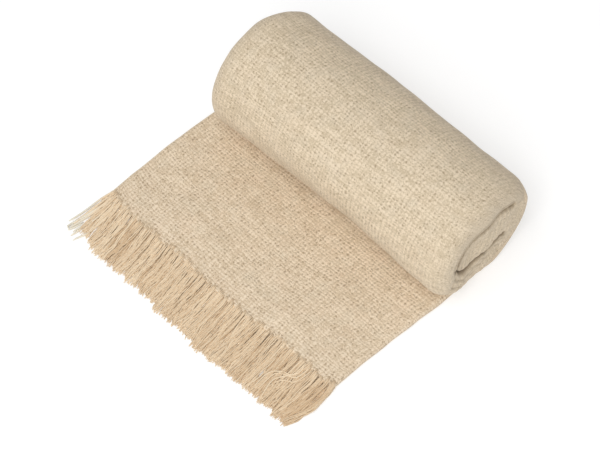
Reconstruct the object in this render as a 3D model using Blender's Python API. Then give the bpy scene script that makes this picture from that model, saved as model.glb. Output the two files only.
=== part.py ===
"""A woven throw blanket, folded in four along its length and rolled up, its fringed end laid flat.

Two pieces: the cloth, one solid of the roll and of the loose end that runs out from under it, and
the fringe, whose strands are fused at their roots into a narrow strip in front of the cloth's edge.

Metres, +Z up. X runs along the roll, and the loose end points towards -Y. The origin is on the
floor under the middle of the roll.
"""

from math import asin, atan2, cos, degrees, exp, pi, radians, sin, sqrt
import random

import bmesh
import bpy
from mathutils import Vector

# The throw as it is woven, and the strip that it is folded into before it is rolled
THROW_WIDTH = 1.300
FOLDED_IN = 4
STRIP_WIDTH = THROW_WIDTH / FOLDED_IN
HALF_STRIP = STRIP_WIDTH / 2
FLAP_THICKNESS = 0.0080
HEM_THICKNESS = 0.0066

# The roll: an oval that is a little larger at its left end
ROLL_LEFT = -HALF_STRIP + 0.0155
ROLL_RIGHT = HALF_STRIP + 0.0090
CORE_RIGHT = HALF_STRIP + 0.0075
CORE_LEFT = -HALF_STRIP + 0.0140
HALF_WIDTH_LEFT = 0.0704
HALF_WIDTH_RIGHT = 0.0688
HALF_HEIGHT_LEFT = 0.0656
HALF_HEIGHT_RIGHT = 0.0642
ROLL_LIFT = 0.0015
ROLL_WAVE = 0.0009
ROLL_WAVE_RUN = 0.0360
WAVES_ROUND = 3
WAVE_STARTS = sin(radians(-44))
WAVE_FULL = sin(radians(-6))

# The loose end: it lies flat from its hem to just behind the roll's middle, then climbs its back
FLAP_FRONT = 0.1935
FLAT_SPOT = 0.0013
WRAP_INSET = 0.0016
WRAP_TURN = radians(112)
WRAP_EASE = radians(14)
FLAT_BACK = 0.0120
FLAP_WAVE = 0.0007
FLAP_WAVE_SHORT = 0.0240
FLAP_WAVE_LONG = 0.0610
FLAP_WAVE_OUT = 0.0350
HEM_WAVE = 0.0011
HEM_WAVE_SHORT = 0.0210
HEM_WAVE_LONG = 0.0490
HEM_RUN = 0.0300
HEM_CORNER = 0.0030
CORNER_RUN = 0.0220
HEM_SLOPE = 0.0020

# The fringe
FRINGE_LENGTH_LEFT = 0.0515
FRINGE_LENGTH_RIGHT = 0.0555
LENGTH_SPREAD = 0.0040
STRAND_COLUMNS = 80
STRAND_WIDTH = 0.0028
STRAND_HEIGHT = 0.0024
ROW_GAP = 0.0012
TIP_SHARE = 0.60
BACKING_DEPTH = 0.0027
PARTING = 0.0003
UPPER_ROW_SHORTER = 0.0020
CORNER_FLARE = 0.0060
FLARE_RUN = 0.0160
CORNER_BOW = 0.0045
BOW_RUN = 0.0200
STRAND_JITTER = 0.0004
STRAND_WAVE = 0.0010
STRAND_WAVE_RUN = 0.0130
STRAND_WAVE_TURN = 0.7 * pi
BOW_TURN = 1.25 * pi
LEAN_POWER = 1.5

# The finish of each piece: its colour and roughness, and the angle past which an edge stays sharp
CLOTH_COLOUR = (0.694, 0.571, 0.418)
YARN_COLOUR = (0.700, 0.560, 0.380)
ROUGHNESS = 0.95
SHARP_ANGLE = radians(50)

# How finely the shapes are cut
VALLEY_STEPS = 6
CREASE_STEPS = 20
CORE_ROWS = 6
SHOULDER_ROWS = 7
LOWER_ROWS = 6
ROLL_STATIONS = 24
FLAP_COLUMNS = 26
FLAP_ROWS = 14
WRAP_ROWS = 9
SIDE_STEPS = 4
STRAND_STEPS = 3
SPLINE_STEPS = 12

# Sides of the strip, by distance in front of the roll's middle, and on up its back
FLAP_SIDES = [
    {"distance": -0.135, "left": -0.1380, "right": 0.1560},
    {"distance": -0.105, "left": -0.1490, "right": 0.1645},
    {"distance": -0.060, "left": -0.1520, "right": 0.1645},
    {"distance": -0.025, "left": -0.1560, "right": 0.1650},
    {"distance": 0.000, "left": -0.1590, "right": 0.1625},
    {"distance": 0.050, "left": -0.1620, "right": 0.1626},
    {"distance": 0.085, "left": -0.1635, "right": 0.1598},
    {"distance": 0.120, "left": -0.1643, "right": 0.1575},
    {"distance": 0.160, "left": -0.1640, "right": 0.1557},
    {"distance": 0.200, "left": -0.1625, "right": 0.1553},
]

# How far the roll's ends reach and how round their shoulders are, by degrees from the front over the top
END_REACH = [
    {"angle": -42, "left": -0.1480, "right": 0.1710, "shoulder": 0.0120},
    {"angle": -10, "left": -0.1470, "right": 0.1720, "shoulder": 0.0190},
    {"angle": 30, "left": -0.1470, "right": 0.1715, "shoulder": 0.0230},
    {"angle": 90, "left": -0.1475, "right": 0.1710, "shoulder": 0.0240},
    {"angle": 130, "left": -0.1460, "right": 0.1680, "shoulder": 0.0250},
    {"angle": 165, "left": -0.1465, "right": 0.1645, "shoulder": 0.0170},
    {"angle": 196, "left": -0.1480, "right": 0.1640, "shoulder": 0.0090},
    {"angle": 270, "left": -0.1510, "right": 0.1650, "shoulder": 0.0080},
    {"angle": 298, "left": -0.1500, "right": 0.1685, "shoulder": 0.0090},
    {"angle": 318, "left": -0.1480, "right": 0.1710, "shoulder": 0.0120},
]

# The line where the roll sits on the flat end isn't straight: its bulge forward, by place along the roll
FRONT_BULGE = [
    {"x": -0.150, "bulge": 0.0010},
    {"x": -0.080, "bulge": -0.0005},
    {"x": 0.010, "bulge": -0.0020},
    {"x": 0.055, "bulge": -0.0035},
    {"x": 0.095, "bulge": -0.0015},
    {"x": 0.140, "bulge": 0.0012},
    {"x": 0.170, "bulge": 0.0020},
]
BULGE_ANGLE = radians(-28)
BULGE_SPREAD = radians(55)

# Where the creases of each end reach the roll's outline, as angles from the front, up over the top
VALLEY_ANGLE = radians(-42)
UPPER_ANGLE = radians(174)
LOWER_ANGLE = radians(211)

# The creases between the turns on the ends: forward is towards the loose end, up is from the middle
RIGHT_END_CREASES = {
    "pivot": {"forward": 0.0355, "up": -0.0125},
    "valley": [
        {"forward": 0.0425, "up": -0.0240},
        {"forward": 0.0475, "up": -0.0360},
    ],
    "upper": [
        {"forward": 0.0275, "up": 0.0010},
        {"forward": 0.0140, "up": 0.0112},
        {"forward": -0.0060, "up": 0.0188},
        {"forward": -0.0250, "up": 0.0220},
        {"forward": -0.0395, "up": 0.0190},
        {"forward": -0.0520, "up": 0.0115},
    ],
    "lower": [
        {"forward": 0.0300, "up": -0.0195},
        {"forward": 0.0194, "up": -0.0225},
        {"forward": -0.0040, "up": -0.0205},
        {"forward": -0.0170, "up": -0.0105},
        {"forward": -0.0300, "up": -0.0120},
        {"forward": -0.0440, "up": -0.0235},
    ],
}
LEFT_END_CREASES = {
    "pivot": {"forward": 0.0320, "up": -0.0080},
    "valley": [
        {"forward": 0.0410, "up": -0.0210},
        {"forward": 0.0470, "up": -0.0350},
    ],
    "upper": [
        {"forward": 0.0200, "up": 0.0080},
        {"forward": 0.0020, "up": 0.0170},
        {"forward": -0.0200, "up": 0.0200},
        {"forward": -0.0420, "up": 0.0190},
    ],
    "lower": [
        {"forward": 0.0200, "up": -0.0220},
        {"forward": 0.0000, "up": -0.0250},
        {"forward": -0.0240, "up": -0.0190},
        {"forward": -0.0460, "up": -0.0160},
    ],
}
END_CREASES = {"left": LEFT_END_CREASES, "right": RIGHT_END_CREASES}

# How deep each crease goes, and how wide the round lip beside it is
CREASES = {
    "valley": {"depth": 0.0050, "lip": 0.0110},
    "upper": {"depth": 0.0120, "lip": 0.0085},
    "lower": {"depth": 0.0110, "lip": 0.0080},
}

# The core stands out a little in its middle, and its reach holds over this share of the section
CORE_SWELL = 0.0030
CORE_SPREAD = 0.0200
CORE_SHARE = 0.8
CORE_MIDDLE = Vector((-0.030, 0.004))

# The two small holes where the outer turn closes over the core
HOLES = [
    {"forward": 0.0355, "up": -0.0125, "depth": 0.0060, "radius": 0.0060},
    {"forward": -0.0395, "up": 0.0185, "depth": 0.0070, "radius": 0.0065},
]


def clear_scene():
    """Remove every object that the file holds."""
    for thing in list(bpy.data.objects):
        bpy.data.objects.remove(thing, do_unlink=True)


def mix(low, high, share):
    return low + (high - low) * share


def smooth(share):
    """A soft step from 0 to 1."""
    share = min(max(share, 0.0), 1.0)
    return share * share * (3 - 2 * share)


def quarter_round(share):
    """The height of a quarter circle, from 0 at its foot to 1 at its crown."""
    share = min(max(share, 0.0), 1.0)
    return sqrt(1 - (1 - share) ** 2)


def spline(points, steps):
    """A smooth curve through 2-D points, as steps + 1 points that are evenly spaced along it."""
    ends = [points[0] * 2 - points[1]] + points + [points[-1] * 2 - points[-2]]
    fine = []
    for index in range(1, len(ends) - 2):
        a, b, c, d = ends[index - 1:index + 3]
        for part in range(SPLINE_STEPS):
            t = part / SPLINE_STEPS
            fine.append(0.5 * (2 * b + (c - a) * t + (2 * a - 5 * b + 4 * c - d) * t ** 2
                               + (3 * b - a - 3 * c + d) * t ** 3))
    fine.append(points[-1])
    reach = [0.0]
    for start, end in zip(fine, fine[1:]):
        reach.append(reach[-1] + (end - start).length)
    spaced = []
    place = 0
    for step in range(steps + 1):
        wanted = reach[-1] * step / steps
        while place < len(fine) - 2 and reach[place + 1] < wanted:
            place += 1
        share = (wanted - reach[place]) / (reach[place + 1] - reach[place])
        spaced.append(fine[place].lerp(fine[place + 1], share))
    return spaced


def table_value(table, key, column, wanted):
    """Read a column of a table where its key has a value, softly between its rows."""
    if wanted <= table[0][key]:
        return table[0][column]
    for low, high in zip(table, table[1:]):
        if wanted <= high[key]:
            share = (wanted - low[key]) / (high[key] - low[key])
            return mix(low[column], high[column], smooth(share))
    return table[-1][column]


def roll_half_sizes(x):
    share = (x - ROLL_LEFT) / (ROLL_RIGHT - ROLL_LEFT)
    return (mix(HALF_WIDTH_LEFT, HALF_WIDTH_RIGHT, share),
            mix(HALF_HEIGHT_LEFT, HALF_HEIGHT_RIGHT, share))


def section_point(x, angle):
    """A point of the roll's oval section, as forward and up from its middle."""
    half_width, half_height = roll_half_sizes(x)
    below = half_height - ROLL_LIFT
    height = half_height if sin(angle) > 0 else below
    above_floor = smooth((sin(angle) - WAVE_STARTS) / (WAVE_FULL - WAVE_STARTS))
    swing = ROLL_WAVE * sin(WAVES_ROUND * angle + x / ROLL_WAVE_RUN) * above_floor
    off_bulge = min(abs(angle - BULGE_ANGLE), 2 * pi - abs(angle - BULGE_ANGLE)) / BULGE_SPREAD
    bulge = table_value(FRONT_BULGE, "x", "bulge", x) * (1 - smooth(off_bulge))
    swell = 1 + (swing + bulge) / half_width
    return Vector((half_width * cos(angle), height * sin(angle))) * swell


def place(x, point):
    """The place in the part's frame of a section point."""
    _, half_height = roll_half_sizes(x)
    return Vector((x, -point.x, half_height + point.y))


def end_value(column, angle):
    """Read the table of the roll's ends at an angle in radians."""
    turned = (angle - VALLEY_ANGLE) % (2 * pi) + VALLEY_ANGLE
    return table_value(END_REACH, "angle", column, degrees(turned))


def rim_x(side, angle):
    """Where the straight part of the roll stops and its shoulder starts."""
    if side == "left":
        return end_value("left", angle) + end_value("shoulder", angle)
    return end_value("right", angle) - end_value("shoulder", angle)


def band_angles():
    """The angles of the section's points: over the top, down the core's side, and back below."""
    over = VALLEY_STEPS + CREASE_STEPS
    angles = [mix(VALLEY_ANGLE, UPPER_ANGLE, step / over) for step in range(over)]
    angles += [mix(UPPER_ANGLE, LOWER_ANGLE, step / CORE_ROWS) for step in range(CORE_ROWS)]
    last = VALLEY_ANGLE + 2 * pi
    angles += [mix(LOWER_ANGLE, last, step / over) for step in range(over)]
    return angles


def crease_curves(side):
    """The three creases of an end as point lists, from the pivot to the outline."""
    def points(rows):
        return [Vector((row["forward"], row["up"])) for row in rows]

    end = END_CREASES[side]
    x = rim_x(side, pi / 2)
    pivot = points([end["pivot"]])
    routes = {"valley": (VALLEY_ANGLE, VALLEY_STEPS), "upper": (UPPER_ANGLE, CREASE_STEPS),
              "lower": (LOWER_ANGLE, CREASE_STEPS)}
    return {name: spline(pivot + points(end[name]) + [section_point(x, angle)], steps)
            for name, (angle, steps) in routes.items()}


def distance_to(point, curve):
    """The shortest way from a point to a curve of straight steps."""
    nearest = 1.0
    for start, end in zip(curve, curve[1:]):
        along = end - start
        share = min(max((point - start).dot(along) / along.length_squared, 0.0), 1.0)
        nearest = min(nearest, (point - start - along * share).length)
    return nearest


def end_x(side, point, curves):
    """The X of an end's surface at a section point: round shoulders, creases and a full core."""
    half_width, half_height = roll_half_sizes(rim_x(side, pi / 2))
    out = sqrt((point.x / half_width) ** 2 + (point.y / half_height) ** 2)
    angle = atan2(point.y / half_height, point.x / half_width)
    inset = max(1 - out, 0.0) * (half_width + half_height) / 2
    shoulder = end_value("shoulder", angle)
    depth = shoulder * (1 - quarter_round(inset / shoulder))
    for name, curve in curves.items():
        crease = CREASES[name]
        gap = distance_to(point, curve)
        fade = smooth(inset / crease["lip"])
        depth += crease["depth"] * fade * (1 - quarter_round(gap / crease["lip"]))
    for hole in HOLES:
        away = (point - Vector((hole["forward"], hole["up"]))).length
        depth += hole["depth"] * (1 - smooth(away / hole["radius"]))
    depth -= CORE_SWELL * exp(-((point - CORE_MIDDLE).length / CORE_SPREAD) ** 2)
    core = CORE_LEFT if side == "left" else CORE_RIGHT
    reach = mix(core, end_value(side, angle), smooth(out / CORE_SHARE))
    return reach + depth if side == "left" else reach - depth


def rows_between(start, end, rows):
    """Points between two others, closer together near both."""
    return [start.lerp(end, (1 - cos(pi * row / rows)) / 2) for row in range(1, rows)]


def add_end(bm, ring, side):
    """Close the roll with the end's three bands: the outer shoulder, the core and the lower turn."""
    over = VALLEY_STEPS + CREASE_STEPS
    count = len(ring)
    curves = crease_curves(side)
    middle_x = rim_x(side, pi / 2)

    def vertex(point):
        spot = place(middle_x, point)
        spot.x = end_x(side, point, curves)
        return bm.verts.new(spot)

    def flat(vert):
        return Vector((-vert.co.y, vert.co.z - roll_half_sizes(middle_x)[1]))

    def line_between(start, end, rows):
        return [start] + [vertex(point) for point in rows_between(flat(start), flat(end), rows)] + [end]

    def skin(columns):
        for left, right in zip(columns, columns[1:]):
            for row in range(max(len(left), len(right)) - 1):
                corners = (left[min(row, len(left) - 1)], left[min(row + 1, len(left) - 1)],
                           right[min(row + 1, len(right) - 1)], right[min(row, len(right) - 1)])
                face = list(dict.fromkeys(corners))
                if len(face) > 2:
                    bm.faces.new(face)

    valley = [vertex(point) for point in curves["valley"][:-1]]
    upper = [valley[0]] + [vertex(point) for point in curves["upper"][1:-1]]
    lower = [valley[0]] + [vertex(point) for point in curves["lower"][1:-1]]

    inner_top = [ring[0]] + valley[::-1] + upper[1:] + [ring[over]]
    outer_top = ring[:over + 1]
    inner_low = [ring[over + CORE_ROWS]] + lower[:0:-1] + valley + [ring[0]]
    outer_low = [ring[(over + CORE_ROWS + index) % count] for index in range(over + 1)]
    for outer, inner, rows in ((outer_top, inner_top, SHOULDER_ROWS), (outer_low, inner_low, LOWER_ROWS)):
        skin([[start] if start is end else line_between(start, end, rows)
              for start, end in zip(outer, inner)])

    core = [[valley[0]]]
    core += [line_between(start, end, CORE_ROWS) for start, end in zip(upper[1:], lower[1:])]
    core.append(ring[over:over + CORE_ROWS + 1])
    skin(core)


def make_roll():
    """The wound form: an oval loft along X, closed by its two ends."""
    bm = bmesh.new()
    angles = band_angles()
    rings = []
    for station in range(ROLL_STATIONS + 1):
        ring = []
        for angle in angles:
            x = mix(rim_x("left", angle), rim_x("right", angle), station / ROLL_STATIONS)
            ring.append(bm.verts.new(place(x, section_point(x, angle))))
        rings.append(ring)
    for low, high in zip(rings, rings[1:]):
        for index in range(len(angles)):
            after = (index + 1) % len(angles)
            bm.faces.new((low[index], low[after], high[after], high[index]))
    add_end(bm, rings[0], "left")
    add_end(bm, rings[-1], "right")
    return finish_mesh(bm, "throw_cloth")


def hem_distance(x):
    """How far in front of the roll's middle the cloth ends: an uneven line, set back at its corners."""
    wave = HEM_WAVE * (sin(x / HEM_WAVE_SHORT + pi / 5) + sin(x / HEM_WAVE_LONG + 2 * pi / 3))
    corner = HEM_CORNER * smooth((abs(x) - HALF_STRIP + CORNER_RUN) / CORNER_RUN)
    slope = HEM_SLOPE * smooth(x / HALF_STRIP)
    return FLAP_FRONT + wave - corner - slope


def flap_thickness(x, distance):
    near_hem = smooth((distance - FLAP_FRONT + HEM_RUN) / HEM_RUN)
    out = distance / FLAP_WAVE_OUT
    wave = FLAP_WAVE * (sin(x / FLAP_WAVE_SHORT + out) + sin(x / FLAP_WAVE_LONG - out))
    return mix(FLAP_THICKNESS, HEM_THICKNESS, near_hem) + wave * (1 - near_hem)


def strip_side(side, distance):
    return table_value(FLAP_SIDES, "distance", side, distance)


def hem_columns():
    """The X of each column of the flap where it ends, inside its round sides."""
    half = HEM_THICKNESS / 2
    left = strip_side("left", FLAP_FRONT) + half
    right = strip_side("right", FLAP_FRONT) - half
    return [mix(left, right, column / FLAP_COLUMNS) for column in range(FLAP_COLUMNS + 1)]


def wrap_frame(distance, x):
    """A foot on the strip's outer face, and the way from it into the cloth, as (y, z) pairs.

    In front of the flat spot's back edge the strip lies on the floor. Behind it, the strip follows
    the roll's own oval, a little inside its surface, so that it comes out at the roll's ends alone.
    """
    half_width, half_height = roll_half_sizes(x)
    wide = half_width - WRAP_INSET
    tall = half_height + FLAT_SPOT
    flat = wide * sqrt(1 - (half_height / tall) ** 2)
    if -distance <= flat:
        return (-distance, 0.0), (0.0, 1.0)
    first = asin(flat / wide)
    turn = first + (-distance - flat) / half_width
    across, up = wide * sin(turn), tall * cos(turn)
    inward = Vector((-across / wide ** 2, up / tall ** 2)).normalized()
    bend = smooth((turn - first) / WRAP_EASE)
    inward = Vector((inward.x * bend, inward.y * bend + 1 - bend)).normalized()
    return (across, half_height - up), (inward.x, inward.y)


def make_flap():
    """The strip's flat end, and its stretch under the roll and up its back, with round folded sides."""
    bm = bmesh.new()
    wrap_end = -HALF_WIDTH_LEFT * WRAP_TURN
    rows = [mix(FLAP_FRONT, -FLAT_BACK, row / FLAP_ROWS) for row in range(FLAP_ROWS + 1)]
    rows += [mix(-FLAT_BACK, wrap_end, row / WRAP_ROWS) for row in range(1, WRAP_ROWS + 1)]
    loops = []
    for middle in rows:
        half = flap_thickness(0.0, middle) / 2
        share = max((middle + FLAT_BACK) / (FLAP_FRONT + FLAT_BACK), 0.0)
        bottom = []
        top = []
        frames = []
        for column in range(FLAP_COLUMNS + 1):
            x = mix(strip_side("left", middle) + half, strip_side("right", middle) - half,
                    column / FLAP_COLUMNS)
            distance = middle + (hem_distance(x) - FLAP_FRONT) * share
            foot, inward = wrap_frame(distance, x)
            edge = column in (0, FLAP_COLUMNS)
            thick = 2 * half if edge else flap_thickness(x, distance)
            bottom.append(bm.verts.new((x, *foot)))
            top.append(bm.verts.new((x, foot[0] + inward[0] * thick, foot[1] + inward[1] * thick)))
            frames.append((foot, inward))
        arcs = []
        for column, way in ((FLAP_COLUMNS, 1), (0, -1)):
            foot, inward = frames[column]
            arc = []
            for step in range(1, SIDE_STEPS):
                turn = pi * step / SIDE_STEPS
                rise = half - half * cos(turn)
                arc.append(bm.verts.new((bottom[column].co.x + way * half * sin(turn),
                                         foot[0] + inward[0] * rise, foot[1] + inward[1] * rise)))
            arcs.append(arc)
        loops.append(bottom + arcs[0] + top[::-1] + arcs[1][::-1])
    size = len(loops[0])
    for low, high in zip(loops, loops[1:]):
        for index in range(size):
            after = (index + 1) % size
            bm.faces.new((low[index], low[after], high[after], high[index]))
    for loop in (loops[0], loops[-1]):
        width = FLAP_COLUMNS + 1
        arc = SIDE_STEPS - 1
        bottom = loop[:width]
        top = loop[width + arc:2 * width + arc][::-1]
        for column in range(FLAP_COLUMNS):
            bm.faces.new((bottom[column], bottom[column + 1], top[column + 1], top[column]))
        bm.faces.new([bottom[-1]] + loop[width:width + arc] + [top[-1]])
        bm.faces.new([top[0]] + loop[2 * width + arc:] + [bottom[0]])
    return finish_mesh(bm, "loose_end_guide")


def strand_corners(lane, row, step, shape):
    """The four corners of a strand at one of its steps, anticlockwise from its lower left."""
    share = step / STRAND_STEPS
    x0 = lane["x"]
    columns = hem_columns()
    lean = -CORNER_FLARE * exp(-((x0 - columns[0]) / FLARE_RUN) ** 2)
    lean += shape["jitter"] + STRAND_WAVE * sin(x0 / STRAND_WAVE_RUN + STRAND_WAVE_TURN * share)
    bow = CORNER_BOW * exp(-((x0 - columns[-1]) / BOW_RUN) ** 2) * sin(BOW_TURN * share)
    x = x0 + lean * share ** LEAN_POWER + bow
    y = -(lane["root"] + shape["length"] * share)
    scale = mix(1.0, TIP_SHARE, share)
    half = STRAND_WIDTH / 2 * scale
    low = 0.0 if row == 0 else mix(STRAND_HEIGHT + ROW_GAP, STRAND_HEIGHT, share)
    high = low + STRAND_HEIGHT * scale
    return [(x - half, y, low), (x + half, y, low), (x + half, y, high), (x - half, y, high)]


def make_fringe():
    """Strands in two rows that stand apart, grown from the front of one narrow backing strip."""
    rng = random.Random(5)
    bm = bmesh.new()
    columns = hem_columns()
    inner_left = columns[0] + STRAND_WIDTH
    inner_right = columns[-1] - STRAND_WIDTH
    heights = [0.0, STRAND_HEIGHT, STRAND_HEIGHT + ROW_GAP, 2 * STRAND_HEIGHT + ROW_GAP]

    lanes = []
    for column in range(STRAND_COLUMNS):
        x = mix(inner_left, inner_right, column / (STRAND_COLUMNS - 1))
        lanes.append({"x": x, "root": hem_distance(x) + PARTING + BACKING_DEPTH})

    def stack(x, distance):
        return [bm.verts.new((x, -distance, height)) for height in heights]

    front = [stack(columns[0], hem_distance(columns[0]) + PARTING + BACKING_DEPTH)]
    for lane in lanes:
        front.append(stack(lane["x"] - STRAND_WIDTH / 2, lane["root"]))
        front.append(stack(lane["x"] + STRAND_WIDTH / 2, lane["root"]))
    front.append(stack(columns[-1], hem_distance(columns[-1]) + PARTING + BACKING_DEPTH))

    back = []
    for x in columns:
        y = -(hem_distance(x) + PARTING)
        back.append([bm.verts.new((x, y, heights[0])), bm.verts.new((x, y, heights[-1]))])
    for low, high in zip(back, back[1:]):
        bm.faces.new((low[0], low[1], high[1], high[0]))
    for level, rear in ((0, 0), (-1, 1)):
        outline = [post[level] for post in front] + [pair[rear] for pair in reversed(back)]
        bm.faces.new(outline)
    bm.faces.new(front[0] + [back[0][1], back[0][0]])
    bm.faces.new(front[-1] + [back[-1][1], back[-1][0]])

    for index, (left, right) in enumerate(zip(front, front[1:])):
        bands = (1,) if index % 2 else (0, 1, 2)
        for band in bands:
            bm.faces.new((left[band], right[band], right[band + 1], left[band + 1]))

    for index, lane in enumerate(lanes):
        left = front[2 * index + 1]
        right = front[2 * index + 2]
        usual = mix(FRINGE_LENGTH_LEFT, FRINGE_LENGTH_RIGHT, smooth(lane["x"] / STRIP_WIDTH + 0.5))
        for row in (0, 1):
            base = 2 * row
            shape = {
                "length": usual + rng.uniform(-1, 1) * LENGTH_SPREAD - UPPER_ROW_SHORTER * row,
                "jitter": rng.uniform(-1, 1) * STRAND_JITTER,
            }
            ring = [left[base], right[base], right[base + 1], left[base + 1]]
            for step in range(1, STRAND_STEPS + 1):
                after = [bm.verts.new(spot) for spot in strand_corners(lane, row, step, shape)]
                for corner in range(4):
                    following = (corner + 1) % 4
                    bm.faces.new((ring[corner], ring[following], after[following], after[corner]))
                ring = after
            bm.faces.new(ring)
    return finish_mesh(bm, "fringe_yarns")


def finish_mesh(bm, name):
    """Turn the faces outwards, cut them to triangles and put the mesh on an object of its own."""
    bmesh.ops.recalc_face_normals(bm, faces=bm.faces)
    bmesh.ops.triangulate(bm, faces=[face for face in bm.faces if len(face.verts) > 4])
    mesh = bpy.data.meshes.new(name)
    bm.to_mesh(mesh)
    bm.free()
    thing = bpy.data.objects.new(name, mesh)
    bpy.context.scene.collection.objects.link(thing)
    mesh.shade_smooth()
    mesh.set_sharp_from_angle(angle=SHARP_ANGLE)
    return thing


def add_material(thing, name, colour):
    """A plain matt finish."""
    material = bpy.data.materials.new(name)
    material.use_nodes = True
    shader = material.node_tree.nodes["Principled BSDF"]
    shader.inputs["Base Color"].default_value = (*colour, 1.0)
    shader.inputs["Roughness"].default_value = ROUGHNESS
    shader.inputs["Metallic"].default_value = 0.0
    thing.data.materials.append(material)


def main():
    clear_scene()
    cloth = make_roll()
    flap = make_flap()
    flap.hide_render = True
    flap.display_type = "WIRE"
    join = cloth.modifiers.new("join_loose_end", "BOOLEAN")
    join.operation = "UNION"
    join.solver = "EXACT"
    join.object = flap
    fringe = make_fringe()
    add_material(cloth, "woven_cloth", CLOTH_COLOUR)
    add_material(fringe, "loose_yarn", YARN_COLOUR)


main()
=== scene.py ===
# %% [markdown]
# # A rolled throw blanket with a fringed end
# The throw is one loosely woven cloth, about 1.30 m by 1.70 m. It was folded in four along its
# length, which makes a soft strip 325 mm wide, and the strip was rolled up from its far end. The last
# stretch lies flat, and the warp yarns that are left long at its edge make the fringe.
#
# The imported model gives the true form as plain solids. This script covers them with three pieces
# that have the same form in a finer mesh: the rolled cloth, the loose end and the fringe.

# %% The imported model
from math import cos, pi, radians, sin

import bpy
import numpy as np
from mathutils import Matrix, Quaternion, Vector


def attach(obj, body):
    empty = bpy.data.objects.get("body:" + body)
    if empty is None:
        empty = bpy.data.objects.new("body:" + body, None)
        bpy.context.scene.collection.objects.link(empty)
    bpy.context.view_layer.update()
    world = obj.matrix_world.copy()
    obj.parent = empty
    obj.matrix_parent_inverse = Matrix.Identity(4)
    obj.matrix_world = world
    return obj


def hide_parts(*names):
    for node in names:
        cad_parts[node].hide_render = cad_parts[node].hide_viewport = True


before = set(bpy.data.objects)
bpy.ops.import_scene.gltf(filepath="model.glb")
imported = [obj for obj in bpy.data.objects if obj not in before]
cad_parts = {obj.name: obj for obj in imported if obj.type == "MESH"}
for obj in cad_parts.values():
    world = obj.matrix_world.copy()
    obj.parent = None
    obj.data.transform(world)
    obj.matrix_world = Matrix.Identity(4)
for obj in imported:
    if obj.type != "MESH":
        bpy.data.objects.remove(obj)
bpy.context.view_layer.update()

# %% [markdown]
# ## Small tools for soft shapes
# Cloth has no straight runs and no hard corners, so nearly every size here changes softly from one
# place to the next. A few helpers do that: a soft step, the outline of a quarter circle, a soft hump,
# a value between two others, and a table whose columns are read between its rows. They work on whole
# NumPy arrays, because a fine mesh has too many points for a Python loop.

# %% Soft steps and tables
def soft_step(share):
    """From 0 to 1, with no corner at either end."""
    share = np.clip(share, 0.0, 1.0)
    return share * share * (3 - 2 * share)


def quarter_round(share):
    """The height of a quarter circle, steep at 0 and level at 1."""
    return np.sqrt(1 - (1 - np.clip(share, 0.0, 1.0)) ** 2)


def hump(distance, width):
    """1 in the middle, and softly down to 0 on both sides."""
    return np.exp(-(distance / width) ** 2)


def between(low, high, share):
    """The value at a share of the way from low to high."""
    return low + (high - low) * share


def soft_table(table, key, column, wanted):
    """Read a column of a table where its key has the wanted value."""
    keys = np.array(table[key])
    values = np.array(table[column])
    row = np.clip(np.searchsorted(keys, wanted) - 1, 0, len(keys) - 2)
    share = (wanted - keys[row]) / (keys[row + 1] - keys[row])
    return between(values[row], values[row + 1], soft_step(share))


# %% A smooth curve through a few points
CURVE_STEPS = 12


def smooth_curve(points, steps):
    """Points evenly spaced along a Catmull-Rom curve."""
    points = np.array(points)
    ends = np.vstack([2 * points[0] - points[1], points, 2 * points[-1] - points[-2]])
    t = np.linspace(0.0, 1.0, CURVE_STEPS, endpoint=False)[:, None]
    fine = []
    for before, start, end, after in zip(ends, ends[1:], ends[2:], ends[3:]):
        first = end - before
        second = 2 * before - 5 * start + 4 * end - after
        third = 3 * start - before - 3 * end + after
        fine.append(0.5 * (2 * start + first * t + second * t ** 2 + third * t ** 3))
    fine = np.vstack(fine + [points[-1:]])
    reach = path_lengths(fine)
    wanted = np.linspace(0.0, reach[-1], steps + 1)
    return np.stack([np.interp(wanted, reach, values) for values in fine.T], axis=1)


def path_lengths(points, axis=0):
    """How far along its path each point lies, from 0 at the first."""
    steps = np.linalg.norm(np.diff(points, axis=axis), axis=-1)
    pad = [(0, 0)] * steps.ndim
    pad[axis] = (1, 0)
    return np.pad(np.cumsum(steps, axis=axis), pad)


# %% [markdown]
# ## Sizes
# These are the sizes that the solids were built from, in metres. X runs along the roll, the loose
# end points towards -Y, and the origin is on the floor under the middle of the roll. Angles round the
# roll start at its front and go up over the top.

# %% The strip and the roll
STRIP_WIDTH = 1.300 / 4
HALF_STRIP = STRIP_WIDTH / 2
FLAP_THICKNESS = 0.0080
HEM_THICKNESS = 0.0066
FLAP_FRONT = 0.1935

ROLL_LEFT = -HALF_STRIP + 0.0155
ROLL_RIGHT = HALF_STRIP + 0.0090
CORE = {"left": -HALF_STRIP + 0.0140, "right": HALF_STRIP + 0.0075}
HALF_WIDTH = {"left": 0.0704, "right": 0.0688}
HALF_HEIGHT = {"left": 0.0656, "right": 0.0642}
ROLL_LIFT = 0.0015
ROLL_WAVE = 0.0009
ROLL_WAVE_RUN = 0.0360
WAVES_ROUND = 3
WAVE_STARTS = sin(radians(-44))
WAVE_FULL = sin(radians(-6))
print("strip:", STRIP_WIDTH, "roll:", 2 * HALF_WIDTH["left"], "by", 2 * HALF_HEIGHT["left"])

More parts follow.
